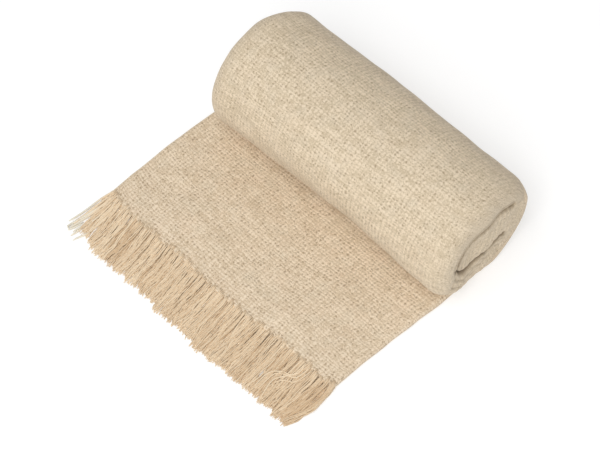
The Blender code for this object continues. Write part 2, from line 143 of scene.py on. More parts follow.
# %% How far each end of the roll reaches, and how round its shoulder is
END_REACH = {
    "angle": [-42, -10, 30, 90, 130, 165, 196, 270, 298, 318],
    "left": [-0.1480, -0.1470, -0.1470, -0.1475, -0.1460, -0.1465, -0.1480, -0.1510, -0.1500, -0.1480],
    "right": [0.1710, 0.1720, 0.1715, 0.1710, 0.1680, 0.1645, 0.1640, 0.1650, 0.1685, 0.1710],
    "shoulder": [0.0120, 0.0190, 0.0230, 0.0240, 0.0250, 0.0170, 0.0090, 0.0080, 0.0090, 0.0120],
}
FRONT_BULGE = {
    "x": [-0.150, -0.080, 0.010, 0.055, 0.095, 0.140, 0.170],
    "bulge": [0.0010, -0.0005, -0.0020, -0.0035, -0.0015, 0.0012, 0.0020],
}
BULGE_ANGLE = radians(-28)
BULGE_SPREAD = radians(55)

# %% The creases between the turns, on the two ends, as (forward, up) from the roll's middle
VALLEY_ANGLE = radians(-42)
UPPER_ANGLE = radians(174)
LOWER_ANGLE = radians(211)
END_CREASES = {
    "right": {
        "pivot": [(0.0392, -0.0020)],
        "valley": [(0.0425, -0.0160), (0.0475, -0.0310)],
        "upper": [(0.0368, 0.0075), (0.0295, 0.0145), (0.0180, 0.0205), (-0.0030, 0.0252),
                  (-0.0195, 0.0252), (-0.0340, 0.0205), (-0.0400, 0.0170), (-0.0520, 0.0110)],
        "lower": [(0.0360, -0.0150), (0.0285, -0.0215), (0.0170, -0.0235), (0.0050, -0.0225),
                  (-0.0060, -0.0245), (-0.0120, -0.0210), (-0.0200, -0.0165), (-0.0340, -0.0205)],
    },
    "left": {
        "pivot": [(0.0320, -0.0080)],
        "valley": [(0.0410, -0.0210), (0.0470, -0.0350)],
        "upper": [(0.0200, 0.0080), (0.0020, 0.0170), (-0.0200, 0.0200), (-0.0420, 0.0190)],
        "lower": [(0.0200, -0.0220), (0.0000, -0.0250), (-0.0240, -0.0190), (-0.0460, -0.0160)],
    },
}

# %% How deep and wide the creases are, and how far their painted shade reaches
CREASE_DEPTH = {"valley": 0.0012, "upper": 0.0110, "lower": 0.0090}
CREASE_FADE = {"upper": -0.0385, "lower": -0.0280}
CREASE_FADE_RUN = 0.0070
# The painted shade of a crease is widened by these factors, the first at the back of an end and the second
# at its front
CREASE_WIDEN = {"upper": (0.8, 1.5), "lower": (1.9, 0.9)}
CREASE_WIDEN_RUN = 0.0400
CREASE_LIPS = {
    "outer": {"valley": 0.0160, "upper": 0.0050, "lower": 0.0060},
    "core": {"valley": 0.0060, "upper": 0.0070, "lower": 0.0050},
    "lower": {"valley": 0.0160, "upper": 0.0060, "lower": 0.0045},
}
# How far the painted shade reaches from each crease, on each band of an end
CREASE_SHADE = {
    "outer": {"upper": 0.0024, "lower": 0.0024},
    "core": {"upper": 0.0066, "lower": 0.0026},
    "lower": {"upper": 0.0024, "lower": 0.0030},
}

# %% The core, and the small holes beside the creases
RIM_EASE = 0.0085
CORE_SWELL = 0.0030
CORE_SPREAD = 0.0200
CORE_SHARE = 0.8
CORE_MIDDLE = (-0.030, 0.004)
CORE_SETBACK = 0.0028
SETBACK_STARTS = -0.0300
SETBACK_FULL = 0.0200
HOLES = {
    "right": [
        {"forward": 0.0405, "up": -0.0040, "depth": 0.0080, "radius": 0.0045},
        {"forward": -0.0400, "up": 0.0175, "depth": 0.0090, "radius": 0.0048},
        {"forward": -0.0070, "up": -0.0275, "depth": 0.0060, "radius": 0.0042},
    ],
    "left": [
        {"forward": 0.0325, "up": -0.0080, "depth": 0.0060, "radius": 0.0045},
    ],
}

# %% [markdown]
# ## The camera, the floor and the light
# The camera goes in first, so that every test render can be laid beside the reference. It stands at
# the front right, looking down steeply through a long lens, as for a catalogue picture. The floor is
# white, and glows a little, so that it stays white beside the throw. A white world keeps the shadows
# faint, and two large soft lamps, one at the front right and one high at the front, make the roll's
# front side lighter than its back.

# %% The camera
CAMERA_AZIMUTH = radians(47.43)
CAMERA_ELEVATION = radians(55.65)
CAMERA_TILT = radians(-2.14)
CAMERA_DISTANCE = 1.911
CAMERA_AIM = Vector((0.0288, -0.1083, 0.0600))
LENS = 119.9
SENSOR = 36.0
SEES_TO = 50.0


def direction(azimuth, elevation):
    """The way from the thing towards a place round it. Azimuth 0 is in front, at -Y."""
    return Vector((sin(azimuth) * cos(elevation), -cos(azimuth) * cos(elevation), sin(elevation)))


camera_side = direction(CAMERA_AZIMUTH, CAMERA_ELEVATION)
bpy.ops.object.camera_add(location=CAMERA_AIM + camera_side * CAMERA_DISTANCE)
camera = bpy.context.object
camera.rotation_mode = "QUATERNION"
tilt = Quaternion((0, 0, 1), CAMERA_TILT)
camera.rotation_quaternion = (-camera_side).to_track_quat("-Z", "Y") @ tilt
camera.data.lens = LENS
camera.data.sensor_width = SENSOR
camera.data.clip_end = SEES_TO
bpy.context.scene.camera = camera
print("camera at", [round(value, 3) for value in camera.location])

# %% The floor
FLOOR_SIZE = 12.0
FLOOR_DROP = 0.0002
FLOOR_GREY = 0.62
FLOOR_GLOW = 0.45
bpy.ops.mesh.primitive_plane_add(size=FLOOR_SIZE, location=(0, 0, -FLOOR_DROP))
floor = bpy.context.object
floor.name = "floor"
floor_finish = bpy.data.materials.new("white_paper")
floor_finish.use_nodes = True
floor_shader = floor_finish.node_tree.nodes["Principled BSDF"]
floor_shader.inputs["Base Color"].default_value = (FLOOR_GREY, FLOOR_GREY, FLOOR_GREY, 1)
floor_shader.inputs["Roughness"].default_value = 1.0
floor_shader.inputs["Emission Color"].default_value = (1, 1, 1, 1)
floor_shader.inputs["Emission Strength"].default_value = FLOOR_GLOW
floor.data.materials.append(floor_finish)

# %% The light
WORLD_STRENGTH = 0.48
LAMP_DISTANCE = 4.0
LAMP_SIZE = 2.2
LAMPS = {
    "side_lamp": {"azimuth": radians(30), "elevation": radians(45), "power": 66.0},
    "high_lamp": {"azimuth": radians(0), "elevation": radians(65), "power": 43.5},
}

world = bpy.data.worlds.new("white_room")
bpy.context.scene.world = world
world.use_nodes = True
world.node_tree.nodes["Background"].inputs["Color"].default_value = (1.0, 1.0, 1.0, 1)
world.node_tree.nodes["Background"].inputs["Strength"].default_value = WORLD_STRENGTH

for name, place in LAMPS.items():
    lamp_side = direction(place["azimuth"], place["elevation"])
    bpy.ops.object.light_add(type="AREA", location=lamp_side * LAMP_DISTANCE)
    lamp = bpy.context.object
    lamp.name = name
    lamp.data.size = LAMP_SIZE
    lamp.data.energy = place["power"]
    lamp.rotation_mode = "QUATERNION"
    lamp.rotation_quaternion = (-lamp_side).to_track_quat("-Z", "Y")
    print(name, place["power"], "W")
bpy.context.scene.view_settings.view_transform = "Standard"

# %% [markdown]
# ## Cloth patches
# Every part of the cloth is a patch: a grid primitive whose rows and columns are bent into place, as
# a tailor thinks of cloth as rows and columns of yarn. The same rows and columns give the patch its UV
# map, which is measured in metres of cloth, so that the weave has one scale everywhere. Patches that
# meet are then joined, and their shared points merged.

# %% One patch
MERGE_WITHIN = 0.00003


def add_patch(name, places, lengths, marks):
    """Bend a grid primitive so that its rows and columns lie at places, with lengths as its UV map."""
    rows, columns = places.shape[:2]
    bpy.ops.object.select_all(action="DESELECT")
    bpy.ops.mesh.primitive_grid_add(x_subdivisions=columns - 1, y_subdivisions=rows - 1, size=2)
    patch = bpy.context.object
    patch.name = name
    mesh = patch.data
    flat = np.empty(len(mesh.vertices) * 3)
    mesh.vertices.foreach_get("co", flat)
    flat = flat.reshape(-1, 3)
    column = np.rint((flat[:, 0] + 1) / 2 * (columns - 1)).astype(int)
    row = np.rint((flat[:, 1] + 1) / 2 * (rows - 1)).astype(int)
    mesh.vertices.foreach_set("co", places[row, column].ravel())
    corner = np.empty(len(mesh.loops), dtype=int)
    mesh.loops.foreach_get("vertex_index", corner)
    mesh.uv_layers[0].name = "cloth"
    mesh.uv_layers[0].data.foreach_set("uv", lengths[row[corner], column[corner]].ravel())
    for mark, values in marks.items():
        values = np.broadcast_to(values, (rows, columns))[row, column]
        mesh.attributes.new(mark, "FLOAT", "POINT").data.foreach_set("value", values.astype(np.float32))
    return patch


def sew(patches, name):
    """Join patches, merge the points that they share, and turn all faces outwards."""
    bpy.ops.object.select_all(action="DESELECT")
    for patch in patches:
        patch.select_set(True)
    bpy.context.view_layer.objects.active = patches[0]
    if len(patches) > 1:
        bpy.ops.object.join()
    piece = bpy.context.object
    bpy.ops.object.mode_set(mode="EDIT")
    bpy.ops.mesh.select_all(action="SELECT")
    bpy.ops.mesh.remove_doubles(threshold=MERGE_WITHIN)
    bpy.ops.mesh.normals_make_consistent(inside=False)
    bpy.ops.object.mode_set(mode="OBJECT")
    bpy.ops.object.shade_smooth()
    piece.name = name
    piece.data.name = name
    return piece


def report(piece):
    """Print what a finished piece is made of."""
    triangles = sum(len(face.vertices) - 2 for face in piece.data.polygons)
    edges = {}
    for face in piece.data.polygons:
        for key_pair in face.edge_keys:
            edges[key_pair] = edges.get(key_pair, 0) + 1
    open_edges = sum(1 for count in edges.values() if count != 2)
    low = np.min([vertex.co for vertex in piece.data.vertices], axis=0)
    high = np.max([vertex.co for vertex in piece.data.vertices], axis=0)
    print(piece.name, triangles, "triangles,", open_edges, "open edges, in mm:",
          np.round(1000 * low, 1), np.round(1000 * high, 1))


# %% [markdown]
# ## The rolled cloth
# Seen from its end, the roll is an oval, a little larger at the left. Its outline isn't quite even:
# it bulges and dips by a millimetre or two where the turns lie thicker or thinner, and the woollen
# surface has small soft lumps. The side is one patch, as long as the roll and as wide as its outline
# is long.

# %% The oval section
LUMP = 0.00035
LUMP_SHORT = 0.0090
LUMP_LONG = 0.0170
LUMP_BEND = 1.5
LUMP_SHIFT = 2.0
LONG_SHARE = 1.4


def half_sizes(x):
    """Half the width and half the height of the oval, at a place along the roll."""
    share = (x - ROLL_LEFT) / (ROLL_RIGHT - ROLL_LEFT)
    return (between(HALF_WIDTH["left"], HALF_WIDTH["right"], share),
            between(HALF_HEIGHT["left"], HALF_HEIGHT["right"], share))


def lumps(along, across):
    """Soft uneven lumps over a surface, in metres of height."""
    bent = along / LUMP_SHORT + LUMP_BEND * np.sin(across / LUMP_LONG)
    first = np.sin(bent) * np.sin(across / LUMP_SHORT + LUMP_SHIFT)
    bent = (along + across) / LUMP_LONG + np.sin(along / LUMP_LONG)
    second = np.sin(bent) * np.sin((along - across) / LUMP_LONG)
    return LUMP * (first + LONG_SHARE * second)


def outline_swell(x, angle):
    """How much larger than the plain oval the roll is at a place."""
    half_width, _ = half_sizes(x)
    above_floor = soft_step((np.sin(angle) - WAVE_STARTS) / (WAVE_FULL - WAVE_STARTS))
    swing = ROLL_WAVE * np.sin(WAVES_ROUND * angle + x / ROLL_WAVE_RUN)
    swing = swing + lumps(x, angle * half_width)
    off_bulge = np.abs(angle - BULGE_ANGLE)
    off_bulge = np.minimum(off_bulge, 2 * pi - off_bulge) / BULGE_SPREAD
    bulge = soft_table(FRONT_BULGE, "x", "bulge", x) * (1 - soft_step(off_bulge))
    return 1 + (swing * above_floor + bulge) / half_width


def section(x, angle):
    """A point of the roll's outline, as forward and up from its middle."""
    half_width, half_height = half_sizes(x)
    height = np.where(np.sin(angle) > 0, half_height, half_height - ROLL_LIFT)
    swell = outline_swell(x, angle)
    return half_width * np.cos(angle) * swell, height * np.sin(angle) * swell


# %% Where the ends begin
def end_value(column, angle):
    """Read a column of the ends' table at an angle round the roll."""
    turned = np.degrees((angle - VALLEY_ANGLE) % (2 * pi) + VALLEY_ANGLE)
    return soft_table(END_REACH, "angle", column, turned)


def rim_x(side, angle):
    """Where the straight part of the roll stops and its shoulder starts."""
    inwards = 1 if side == "left" else -1
    return end_value(side, angle) + inwards * end_value("shoulder", angle)


# %% The side of the roll
VALLEY_STEPS = 14
CREASE_STEPS = 84
CORE_ROWS = 36
SHOULDER_ROWS = 48
ROLL_STATIONS = 150
RIM_FELT = 0.20
FELT_RUN = 0.0150
FELT_STARTS = 0.25
OVER = VALLEY_STEPS + CREASE_STEPS

angles = np.concatenate([
    np.linspace(VALLEY_ANGLE, UPPER_ANGLE, OVER, endpoint=False),
    np.linspace(UPPER_ANGLE, LOWER_ANGLE, CORE_ROWS, endpoint=False),
    np.linspace(LOWER_ANGLE, VALLEY_ANGLE + 2 * pi, OVER + 1),
])
station = np.linspace(0.0, 1.0, ROLL_STATIONS + 1)[:, None]
side_x = between(rim_x("left", angles), rim_x("right", angles), station)
side_forward, side_up = section(side_x, angles)
side_places = np.stack([side_x, -side_forward, half_sizes(side_x)[1] + side_up], axis=-1)
side_places[:, -1] = side_places[:, 0]
around = path_lengths(side_places[ROLL_STATIONS // 2])
side_lengths = np.stack([side_x, np.broadcast_to(around, side_x.shape)], axis=-1)
end_gap = np.minimum(side_x - side_x[0], side_x[-1] - side_x)
side_felt = RIM_FELT * (1 - soft_step(end_gap / FELT_RUN))
roll_side = add_patch("roll_side", side_places, side_lengths, {"crease": 0.0, "felted": side_felt})
print("the roll is", round(1000 * around[-1]), "mm round, and its mesh has a point each",
      round(1000 * around[-1] / len(angles), 1), "mm")

# %% [markdown]
# ## The roll's ends
# An end shows how the strip was wound. The outer turn comes over the top as one thick soft fold. It
# meets the core along a dark crease, and the lower turn closes over the core from below along a
# second one. Both creases fade towards the back. On the right end small holes are left where they
# meet, where the upper one stops, and below the lower one. The left end is never seen in the picture,
# so it is plainer and softer, with one hole.
#
# Each end is worked out as a height over the section: a round shoulder at the outline, a deep narrow
# trough along each crease, and a core that stands out a little. Three patches share it, split along
# the creases, so that the creases stay sharp. Shade is also painted into the cloth's colour along the
# creases and the thin layer lines and in the holes, more weakly on the left end.

# %% The creases of an end
def crease_curves(side):
    """The three creases of an end, each from where they meet to the outline."""
    end = END_CREASES[side]
    x = rim_x(side, pi / 2)

    def route(name, angle, steps):
        return smooth_curve(end["pivot"] + end[name] + [tuple(section(x, angle))], steps)

    return {
        "valley": route("valley", VALLEY_ANGLE, VALLEY_STEPS),
        "upper": route("upper", UPPER_ANGLE, CREASE_STEPS),
        "lower": route("lower", LOWER_ANGLE, CREASE_STEPS),
    }


def distance_to(points, curve):
    """The shortest way from each point to a curve."""
    start = curve[:-1]
    along = np.diff(curve, axis=0)
    away = points[..., None, :] - start
    share = np.clip((away * along).sum(-1) / (along ** 2).sum(-1), 0.0, 1.0)
    return np.linalg.norm(away - along * share[..., None], axis=-1).min(-1)


# %% The height of an end over the section
LAYER_LINE_DEPTH = 0.0012
LAYER_LINE_WIDTH = 0.0010
LAYER_LINES = {"outer": [("upper", 0.0058)], "lower": [("lower", 0.0075), ("lower", 0.0165)], "core": []}
RIBS = {"outer": 0.0, "core": 0.00040, "lower": 0.00045}
RIB_RUN = {"outer": 1.0, "core": 0.0011, "lower": 0.0019}
RIB_EASE = 0.0040
RIB_SLANT = 0.4
END_LUMPS = {"outer": 1.6, "core": 3.2, "lower": 3.2}
# How dark the shade painted along the thin layer lines is, and how strong the painted shade is on each end
LINE_SHADE = 0.45
END_SHADE = {"left": 0.45, "right": 0.90}


def middle_height(side):
    """How high the middle of the section lies at an end."""
    return half_sizes(rim_x(side, pi / 2))[1]


def creases_at(side, points, band):
    """How near the creases of an end are at points of the section, how deep, and how much shade is painted
    there.
    """
    forward = points[..., 0]
    nearest = np.full(forward.shape, np.inf)
    trough = np.zeros(forward.shape)
    shade = np.zeros(forward.shape)
    for name, curve in CURVES[side].items():
        gap = distance_to(points, curve)
        nearest = np.minimum(nearest, gap)
        strong = 1.0
        if name != "valley":
            strong = soft_step((forward - CREASE_FADE[name]) / CREASE_FADE_RUN + 1)
            widen = between(*CREASE_WIDEN[name], soft_step(forward / CREASE_WIDEN_RUN + 0.5))
            # Painted shade, darkest at the bottom of the crease
            shade = np.maximum(shade, strong * (1 - soft_step(gap / CREASE_SHADE[band][name] / widen)))
        rounding = 1 - quarter_round(gap / CREASE_LIPS[band][name])
        trough = np.maximum(trough, strong * CREASE_DEPTH[name] * rounding)
        for line, offset in LAYER_LINES[band]:
            if line == name:
                # A thin layer line: a shallow groove, with shade painted along it
                trough = trough + strong * LAYER_LINE_DEPTH * hump(gap - offset, LAYER_LINE_WIDTH)
                shade = np.maximum(shade, strong * LINE_SHADE * hump(gap - offset, LAYER_LINE_WIDTH))
    for hole in HOLES[side]:
        away = np.linalg.norm(points - np.array([hole["forward"], hole["up"]]), axis=-1)
        in_hole = 1 - soft_step(away / hole["radius"])
        # A hole sinks in, and is painted with shade
        trough = trough + hole["depth"] * in_hole
        shade = np.maximum(shade, in_hole)
    return nearest, trough, shade


def relief_at(points, band, nearest, inside):
    """The swell of the core, the lumps and the fine ribs, as a depth at points of the section."""
    forward, up = points[..., 0], points[..., 1]
    off_crease = soft_step(nearest / RIB_EASE)
    away = np.linalg.norm(points - np.array(CORE_MIDDLE), axis=-1)
    depth = inside * END_LUMPS[band] * lumps(forward, up) - CORE_SWELL * hump(away, CORE_SPREAD)
    if band == "core":
        setback = soft_step((forward - SETBACK_STARTS) / (SETBACK_FULL - SETBACK_STARTS))
        depth = depth + CORE_SETBACK * setback * off_crease
    return depth + RIBS[band] * inside * off_crease * np.sin((forward + RIB_SLANT * up) / RIB_RUN[band])


def end_surface(side, points, band):
    """The X of an end's surface at points of the section, and how much shade is painted there."""
    forward, up = points[..., 0], points[..., 1]
    half_width, half_height = half_sizes(rim_x(side, pi / 2))
    angle = np.arctan2(up / half_height, forward / half_width)
    x = rim_x(side, angle)
    half_width, half_height = half_sizes(x)
    up = up + middle_height(side) - half_height
    height = np.where(up > 0, half_height, half_height - ROLL_LIFT)
    angle = np.arctan2(up / height, forward / half_width)
    out = np.hypot(forward / half_width, up / height) / outline_swell(x, angle)
    inset = np.maximum(1 - out, 0.0) * (half_width + half_height) / 2
    shoulder = end_value("shoulder", angle)
    fade = soft_step(inset / RIM_EASE)
    nearest, trough, shade = creases_at(side, points, band)
    depth = shoulder * (1 - quarter_round(inset / shoulder)) + trough * fade
    depth = depth + relief_at(points, band, nearest, soft_step(inset / shoulder))
    reach = between(CORE[side], end_value(side, angle), soft_step(out / CORE_SHARE))
    # The painted shade fades out towards the rim, and is weaker on the left end
    return np.where(side == "left", reach + depth, reach - depth), shade * fade * END_SHADE[side]


def crease_places(side, name):
    """The points of the mesh along a crease, which the patches on both sides share."""
    curve = CURVES[side][name]
    x, _ = end_surface(side, curve, "core")
    return np.stack([x, -curve[:, 0], curve[:, 1] + middle_height(side)], axis=-1)


# %% One patch of an end
CORE_FELT = 0.5


def cloth_lengths(places, along):
    """How far along the cloth each point lies, with the yarns equally close on every row."""
    steps = np.linalg.norm(np.diff(places, axis=1), axis=-1)
    steps = steps / steps[0] * np.diff(along)
    run = np.pad(np.cumsum(steps, axis=1), [(0, 0), (1, 0)])
    middle = len(along) // 2
    return along[middle] + run - run[:, middle:middle + 1]


def end_patch(side, band, outer, inner, along, rows):
    """A patch from an outer edge to an inner one, meshed more closely near both."""
    spread = (1 - np.cos(pi * np.linspace(0.0, 1.0, rows + 1)[:, None, None])) / 2
    points = outer + (inner - outer) * spread
    x, shade = end_surface(side, points, band)
    places = np.stack([x, -points[..., 0], points[..., 1] + middle_height(side)], axis=-1)
    valley, upper, lower = (crease_places(side, name) for name in ("valley", "upper", "lower"))
    if band == "core":
        places[0] = upper
        places[-1] = lower
        places[:, -1] = rims[side][OVER:OVER + CORE_ROWS + 1]
        places[:, 0] = upper[0]
        felted = CORE_FELT
    else:
        inner_edge = [valley[::-1], upper[1:]] if band == "outer" else [lower[::-1], valley[1:]]
        places[-1] = np.vstack(inner_edge)
        start = 0 if band == "outer" else OVER + CORE_ROWS
        edge = rims[side][np.arange(start, start + OVER + 1) % len(rims[side])]
        places[0] = edge
        places[:, 0] = edge[0]
        places[:, -1] = edge[-1]
        felted = RIM_FELT + (1 - RIM_FELT) * soft_step((spread[..., 0] - FELT_STARTS) / (1 - FELT_STARTS))
    across = path_lengths(places)
    outwards = -1 if side == "left" else 1
    lengths = np.stack([places[0, :, 0] + outwards * across, cloth_lengths(places, along)], axis=-1)
    # The crease mark carries the shade painted along the creases and layer lines and in the holes
    return add_patch(f"{side}_{band}", places, lengths, {"crease": shade, "felted": felted})


# %% The three patches of each end
def close_end(side):
    """The outer turn, the lower turn and the core."""
    rim = rims[side]
    flat_rim = np.stack([-rim[:, 1], rim[:, 2] - middle_height(side)], axis=-1)
    flat_rim = np.vstack([flat_rim, flat_rim[:1]])
    valley, upper, lower = (CURVES[side][name] for name in ("valley", "upper", "lower"))
    lower_start = OVER + CORE_ROWS
    above = np.vstack([valley[::-1], upper[1:]])
    below = np.vstack([lower[::-1], valley[1:]])
    return [
        end_patch(side, "outer", flat_rim[:OVER + 1], above, around[:OVER + 1], SHOULDER_ROWS),
        end_patch(side, "lower", flat_rim[lower_start:], below, around[lower_start:], SHOULDER_ROWS),
        end_patch(side, "core", upper, lower, path_lengths(upper), CORE_ROWS),
    ]


CURVES = {side: crease_curves(side) for side in ("left", "right")}
rims = {"left": side_places[0, :-1], "right": side_places[-1, :-1]}
end_patches = close_end("left") + close_end("right")
rolled_cloth = sew([roll_side] + end_patches, "rolled_cloth")
report(rolled_cloth)

# %% [markdown]
# ## The loose end
# The strip's last stretch lies flat from its hem to just behind the middle of the roll, then climbs
# the roll's back as its outer turn. It is four layers of cloth, about 8 mm thick, with round folds at
# both sides: one thick fold at the right, and two thin ones, one on the other, at the left. Its top
# waves by less than a millimetre, and its underside is flat on the floor.
#
# It is one patch too. Its columns run all the way round the strip, along the bottom, round the right
# side, back over the top and round the left side, and its rows run from the hem to the end of the
# wrap. The strip thins to a line at both ends, which closes the patch when its points are merged.

# %% Sizes of the loose end
FLAT_SPOT = 0.0013
WRAP_INSET = 0.0016
WRAP_TURN = radians(112)
WRAP_EASE = radians(14)
FLAT_BACK = 0.0120
FLAP_WAVE = 0.0007
FLAP_WAVE_SHORT = 0.0240
FLAP_WAVE_LONG = 0.0610
FLAP_WAVE_OUT = 0.0350
HEM_WAVE = 0.0011
HEM_WAVE_SHORT = 0.0210
HEM_WAVE_LONG = 0.0490
HEM_RUN = 0.0300
HEM_CORNER = 0.0030
CORNER_RUN = 0.0220
HEM_SLOPE = 0.0020
FLAP_SIDES = {
    "distance": [-0.135, -0.105, -0.060, -0.025, 0.000, 0.050, 0.085, 0.120, 0.160, 0.200],
    "left": [-0.1380, -0.1490, -0.1520, -0.1560, -0.1590, -0.1620, -0.1635, -0.1643, -0.1640, -0.1625],
    "right": [0.1560, 0.1645, 0.1645, 0.1650, 0.1625, 0.1626, 0.1598, 0.1575, 0.1557, 0.1553],
}


def hem_distance(x):
    """How far in front of the roll's middle the cloth ends."""
    wave = HEM_WAVE * (np.sin(x / HEM_WAVE_SHORT + pi / 5) + np.sin(x / HEM_WAVE_LONG + 2 * pi / 3))
    corner = HEM_CORNER * soft_step((np.abs(x) - HALF_STRIP + CORNER_RUN) / CORNER_RUN)
    return FLAP_FRONT + wave - corner - HEM_SLOPE * soft_step(x / HALF_STRIP)


def flap_thickness(x, distance):
    """How thick the loose end is. It is thinner and even near the hem."""
    near_hem = soft_step((distance - FLAP_FRONT + HEM_RUN) / HEM_RUN)
    out = distance / FLAP_WAVE_OUT
    wave = FLAP_WAVE * (np.sin(x / FLAP_WAVE_SHORT + out) + np.sin(x / FLAP_WAVE_LONG - out))
    wave = wave + lumps(x, distance)
    return between(FLAP_THICKNESS, HEM_THICKNESS, near_hem) + wave * (1 - near_hem)


# %% The way that the strip takes, flat on the floor and then up the roll's back
def strip_path(distance, x):
    """The outer face of the strip as (y, z), and the way from it into the cloth."""
    half_width, half_height = half_sizes(x)
    wide = half_width - WRAP_INSET
    tall = half_height + FLAT_SPOT
    flat = wide * np.sqrt(1 - (half_height / tall) ** 2)
    first = np.arcsin(flat / wide)
    turn = first + np.maximum(-distance - flat, 0.0) / half_width
    lies = (-distance <= flat)[..., None]
    foot = np.stack([wide * np.sin(turn), half_height - tall * np.cos(turn)], axis=-1)
    inward = np.stack([-np.sin(turn) / wide, np.cos(turn) / tall], axis=-1)
    inward /= np.linalg.norm(inward, axis=-1, keepdims=True)
    bend = soft_step((turn - first) / WRAP_EASE)[..., None]
    inward = inward * bend + np.array([0.0, 1.0]) * (1 - bend)
    inward /= np.linalg.norm(inward, axis=-1, keepdims=True)
    on_floor = np.stack([-distance, np.zeros_like(distance)], axis=-1)
    return np.where(lies, on_floor, foot), np.where(lies, np.array([0.0, 1.0]), inward)


# %% The columns, all the way round the strip
FLAP_COLUMNS = 160
FOLD_STEPS = 8
FOLD_GROOVE = 0.55
FOLD_GROOVE_WIDTH = 0.30

over_strip = np.linspace(0.0, 1.0, FLAP_COLUMNS + 1)
level = np.zeros(FLAP_COLUMNS + 1)
fold_turn = np.linspace(0.0, pi, FOLD_STEPS + 1)[1:-1]
at_fold = np.zeros(len(fold_turn))
groove = 1 - FOLD_GROOVE * hump(fold_turn - pi / 2, FOLD_GROOVE_WIDTH)
columns = np.concatenate([over_strip, at_fold + 1, over_strip[::-1], at_fold, [0.0]])
rise = np.concatenate([level, (1 - np.cos(fold_turn)) / 2, level + 1, (1 + np.cos(fold_turn)) / 2, [0.0]])
bulge = np.concatenate([level, np.sin(fold_turn), level, -np.sin(fold_turn) * groove, [0.0]])

# %% The rows, from the hem to the end of the wrap
FLAP_ROWS = 96
WRAP_ROWS = 60
END_ROWS = 7
END_ROUND = 0.0030

wrap_end = -HALF_WIDTH["left"] * WRAP_TURN
nose = np.linspace(0.0, pi / 2, END_ROWS + 1)[:-1]
row_distance = np.concatenate([
    FLAP_FRONT - END_ROUND * (1 - np.cos(nose)),
    np.linspace(FLAP_FRONT - END_ROUND, -FLAT_BACK, FLAP_ROWS, endpoint=False),
    np.linspace(-FLAT_BACK, wrap_end + END_ROUND, WRAP_ROWS, endpoint=False),
    wrap_end + END_ROUND * (1 - np.sin(nose)),
    [wrap_end],
])[:, None]
fullness = np.concatenate([np.sin(nose), np.ones(FLAP_ROWS + WRAP_ROWS), np.cos(nose), [0.0]])[:, None]
print("the loose end has", len(row_distance), "rows of", len(columns), "points")

# %% The loose end as one patch
WRAP_FELT_RUN = 0.0300

on_flat = np.maximum((row_distance + FLAT_BACK) / (FLAP_FRONT + FLAT_BACK), 0.0)
fold_radius = flap_thickness(0.0, row_distance) / 2
left_fold = soft_table(FLAP_SIDES, "distance", "left", row_distance) + fold_radius
right_fold = soft_table(FLAP_SIDES, "distance", "right", row_distance) - fold_radius
strip_x = between(left_fold, right_fold, columns)
strip_distance = row_distance + (hem_distance(strip_x) - FLAP_FRONT) * on_flat
foot, inward = strip_path(strip_distance, strip_x)
strip_height = flap_thickness(strip_x, strip_distance) * (0.5 + (rise - 0.5) * fullness)
flap_places = np.concatenate([(strip_x + bulge * fold_radius * fullness)[..., None],
                              foot + inward * strip_height[..., None]], axis=-1)
flap_around = path_lengths(flap_places[len(row_distance) // 2])
flap_lengths = np.stack(np.broadcast_arrays(flap_around, row_distance), axis=-1)
flap_marks = {"crease": 0.0, "felted": soft_step(-row_distance / WRAP_FELT_RUN)}
loose_end = sew([add_patch("flap", flap_places, flap_lengths, flap_marks)], "loose_end")
report(loose_end)

# %% [markdown]
# ## The fringe
# The four layers of the strip end in four layers of loose warp yarns, one every 4.3 mm in each layer,
# and 50 to 60 mm long. Each has come untwisted into five thin strands. They start a few millimetres
# behind the hem, sunk in the cloth, droop to the floor, and gather in clumps of uneven length. A few
# thick pale ones stray at the left corner, at the right corner they bow outwards, and near it a wisp
# lies across the others.
#
# A strand is a thin tube. All of them are worked out together, as arrays with one row for each strand
# and one column for each step along it, and make one joined mesh.

# %% Sizes of the fringe
WARP_PITCH = 0.0043
LAYERS = 4
LAYER_SHIFTS = [0.0, 0.5, 0.25, 0.75]
ROOT_JITTER = 0.12
FRINGE_LEFT = 0.0530
FRINGE_RIGHT = 0.0590
YARN_UNEVEN = (-0.0024, 0.0020)
CLUMP_UNEVEN = (-0.0036, 0.0024)
FRINGE_LEAN = {
    "x": [-0.1630, -0.1560, -0.1440, -0.0700, 0.0000, 0.0900, 0.1300, 0.1500],
    "lean": [0.02, 0.16, 0.25, 0.22, 0.17, 0.15, 0.10, 0.00],
}
SIDE_ROOM = 0.0012
CLUMPS_MOST = 60
CLUMP_REACH = 0.18
CLUMP_PITCH = 0.0100
CLUMP_JITTER = 0.35
CLUMP_MIX = 0.0030
CLUMP_PULL = 0.42

rng = np.random.default_rng(5)
fringe_left = soft_table(FLAP_SIDES, "distance", "left", FLAP_FRONT) + SIDE_ROOM
fringe_right = soft_table(FLAP_SIDES, "distance", "right", FLAP_FRONT) - SIDE_ROOM
per_layer = int((fringe_right - fringe_left) / WARP_PITCH) + 1
yarns = per_layer * LAYERS

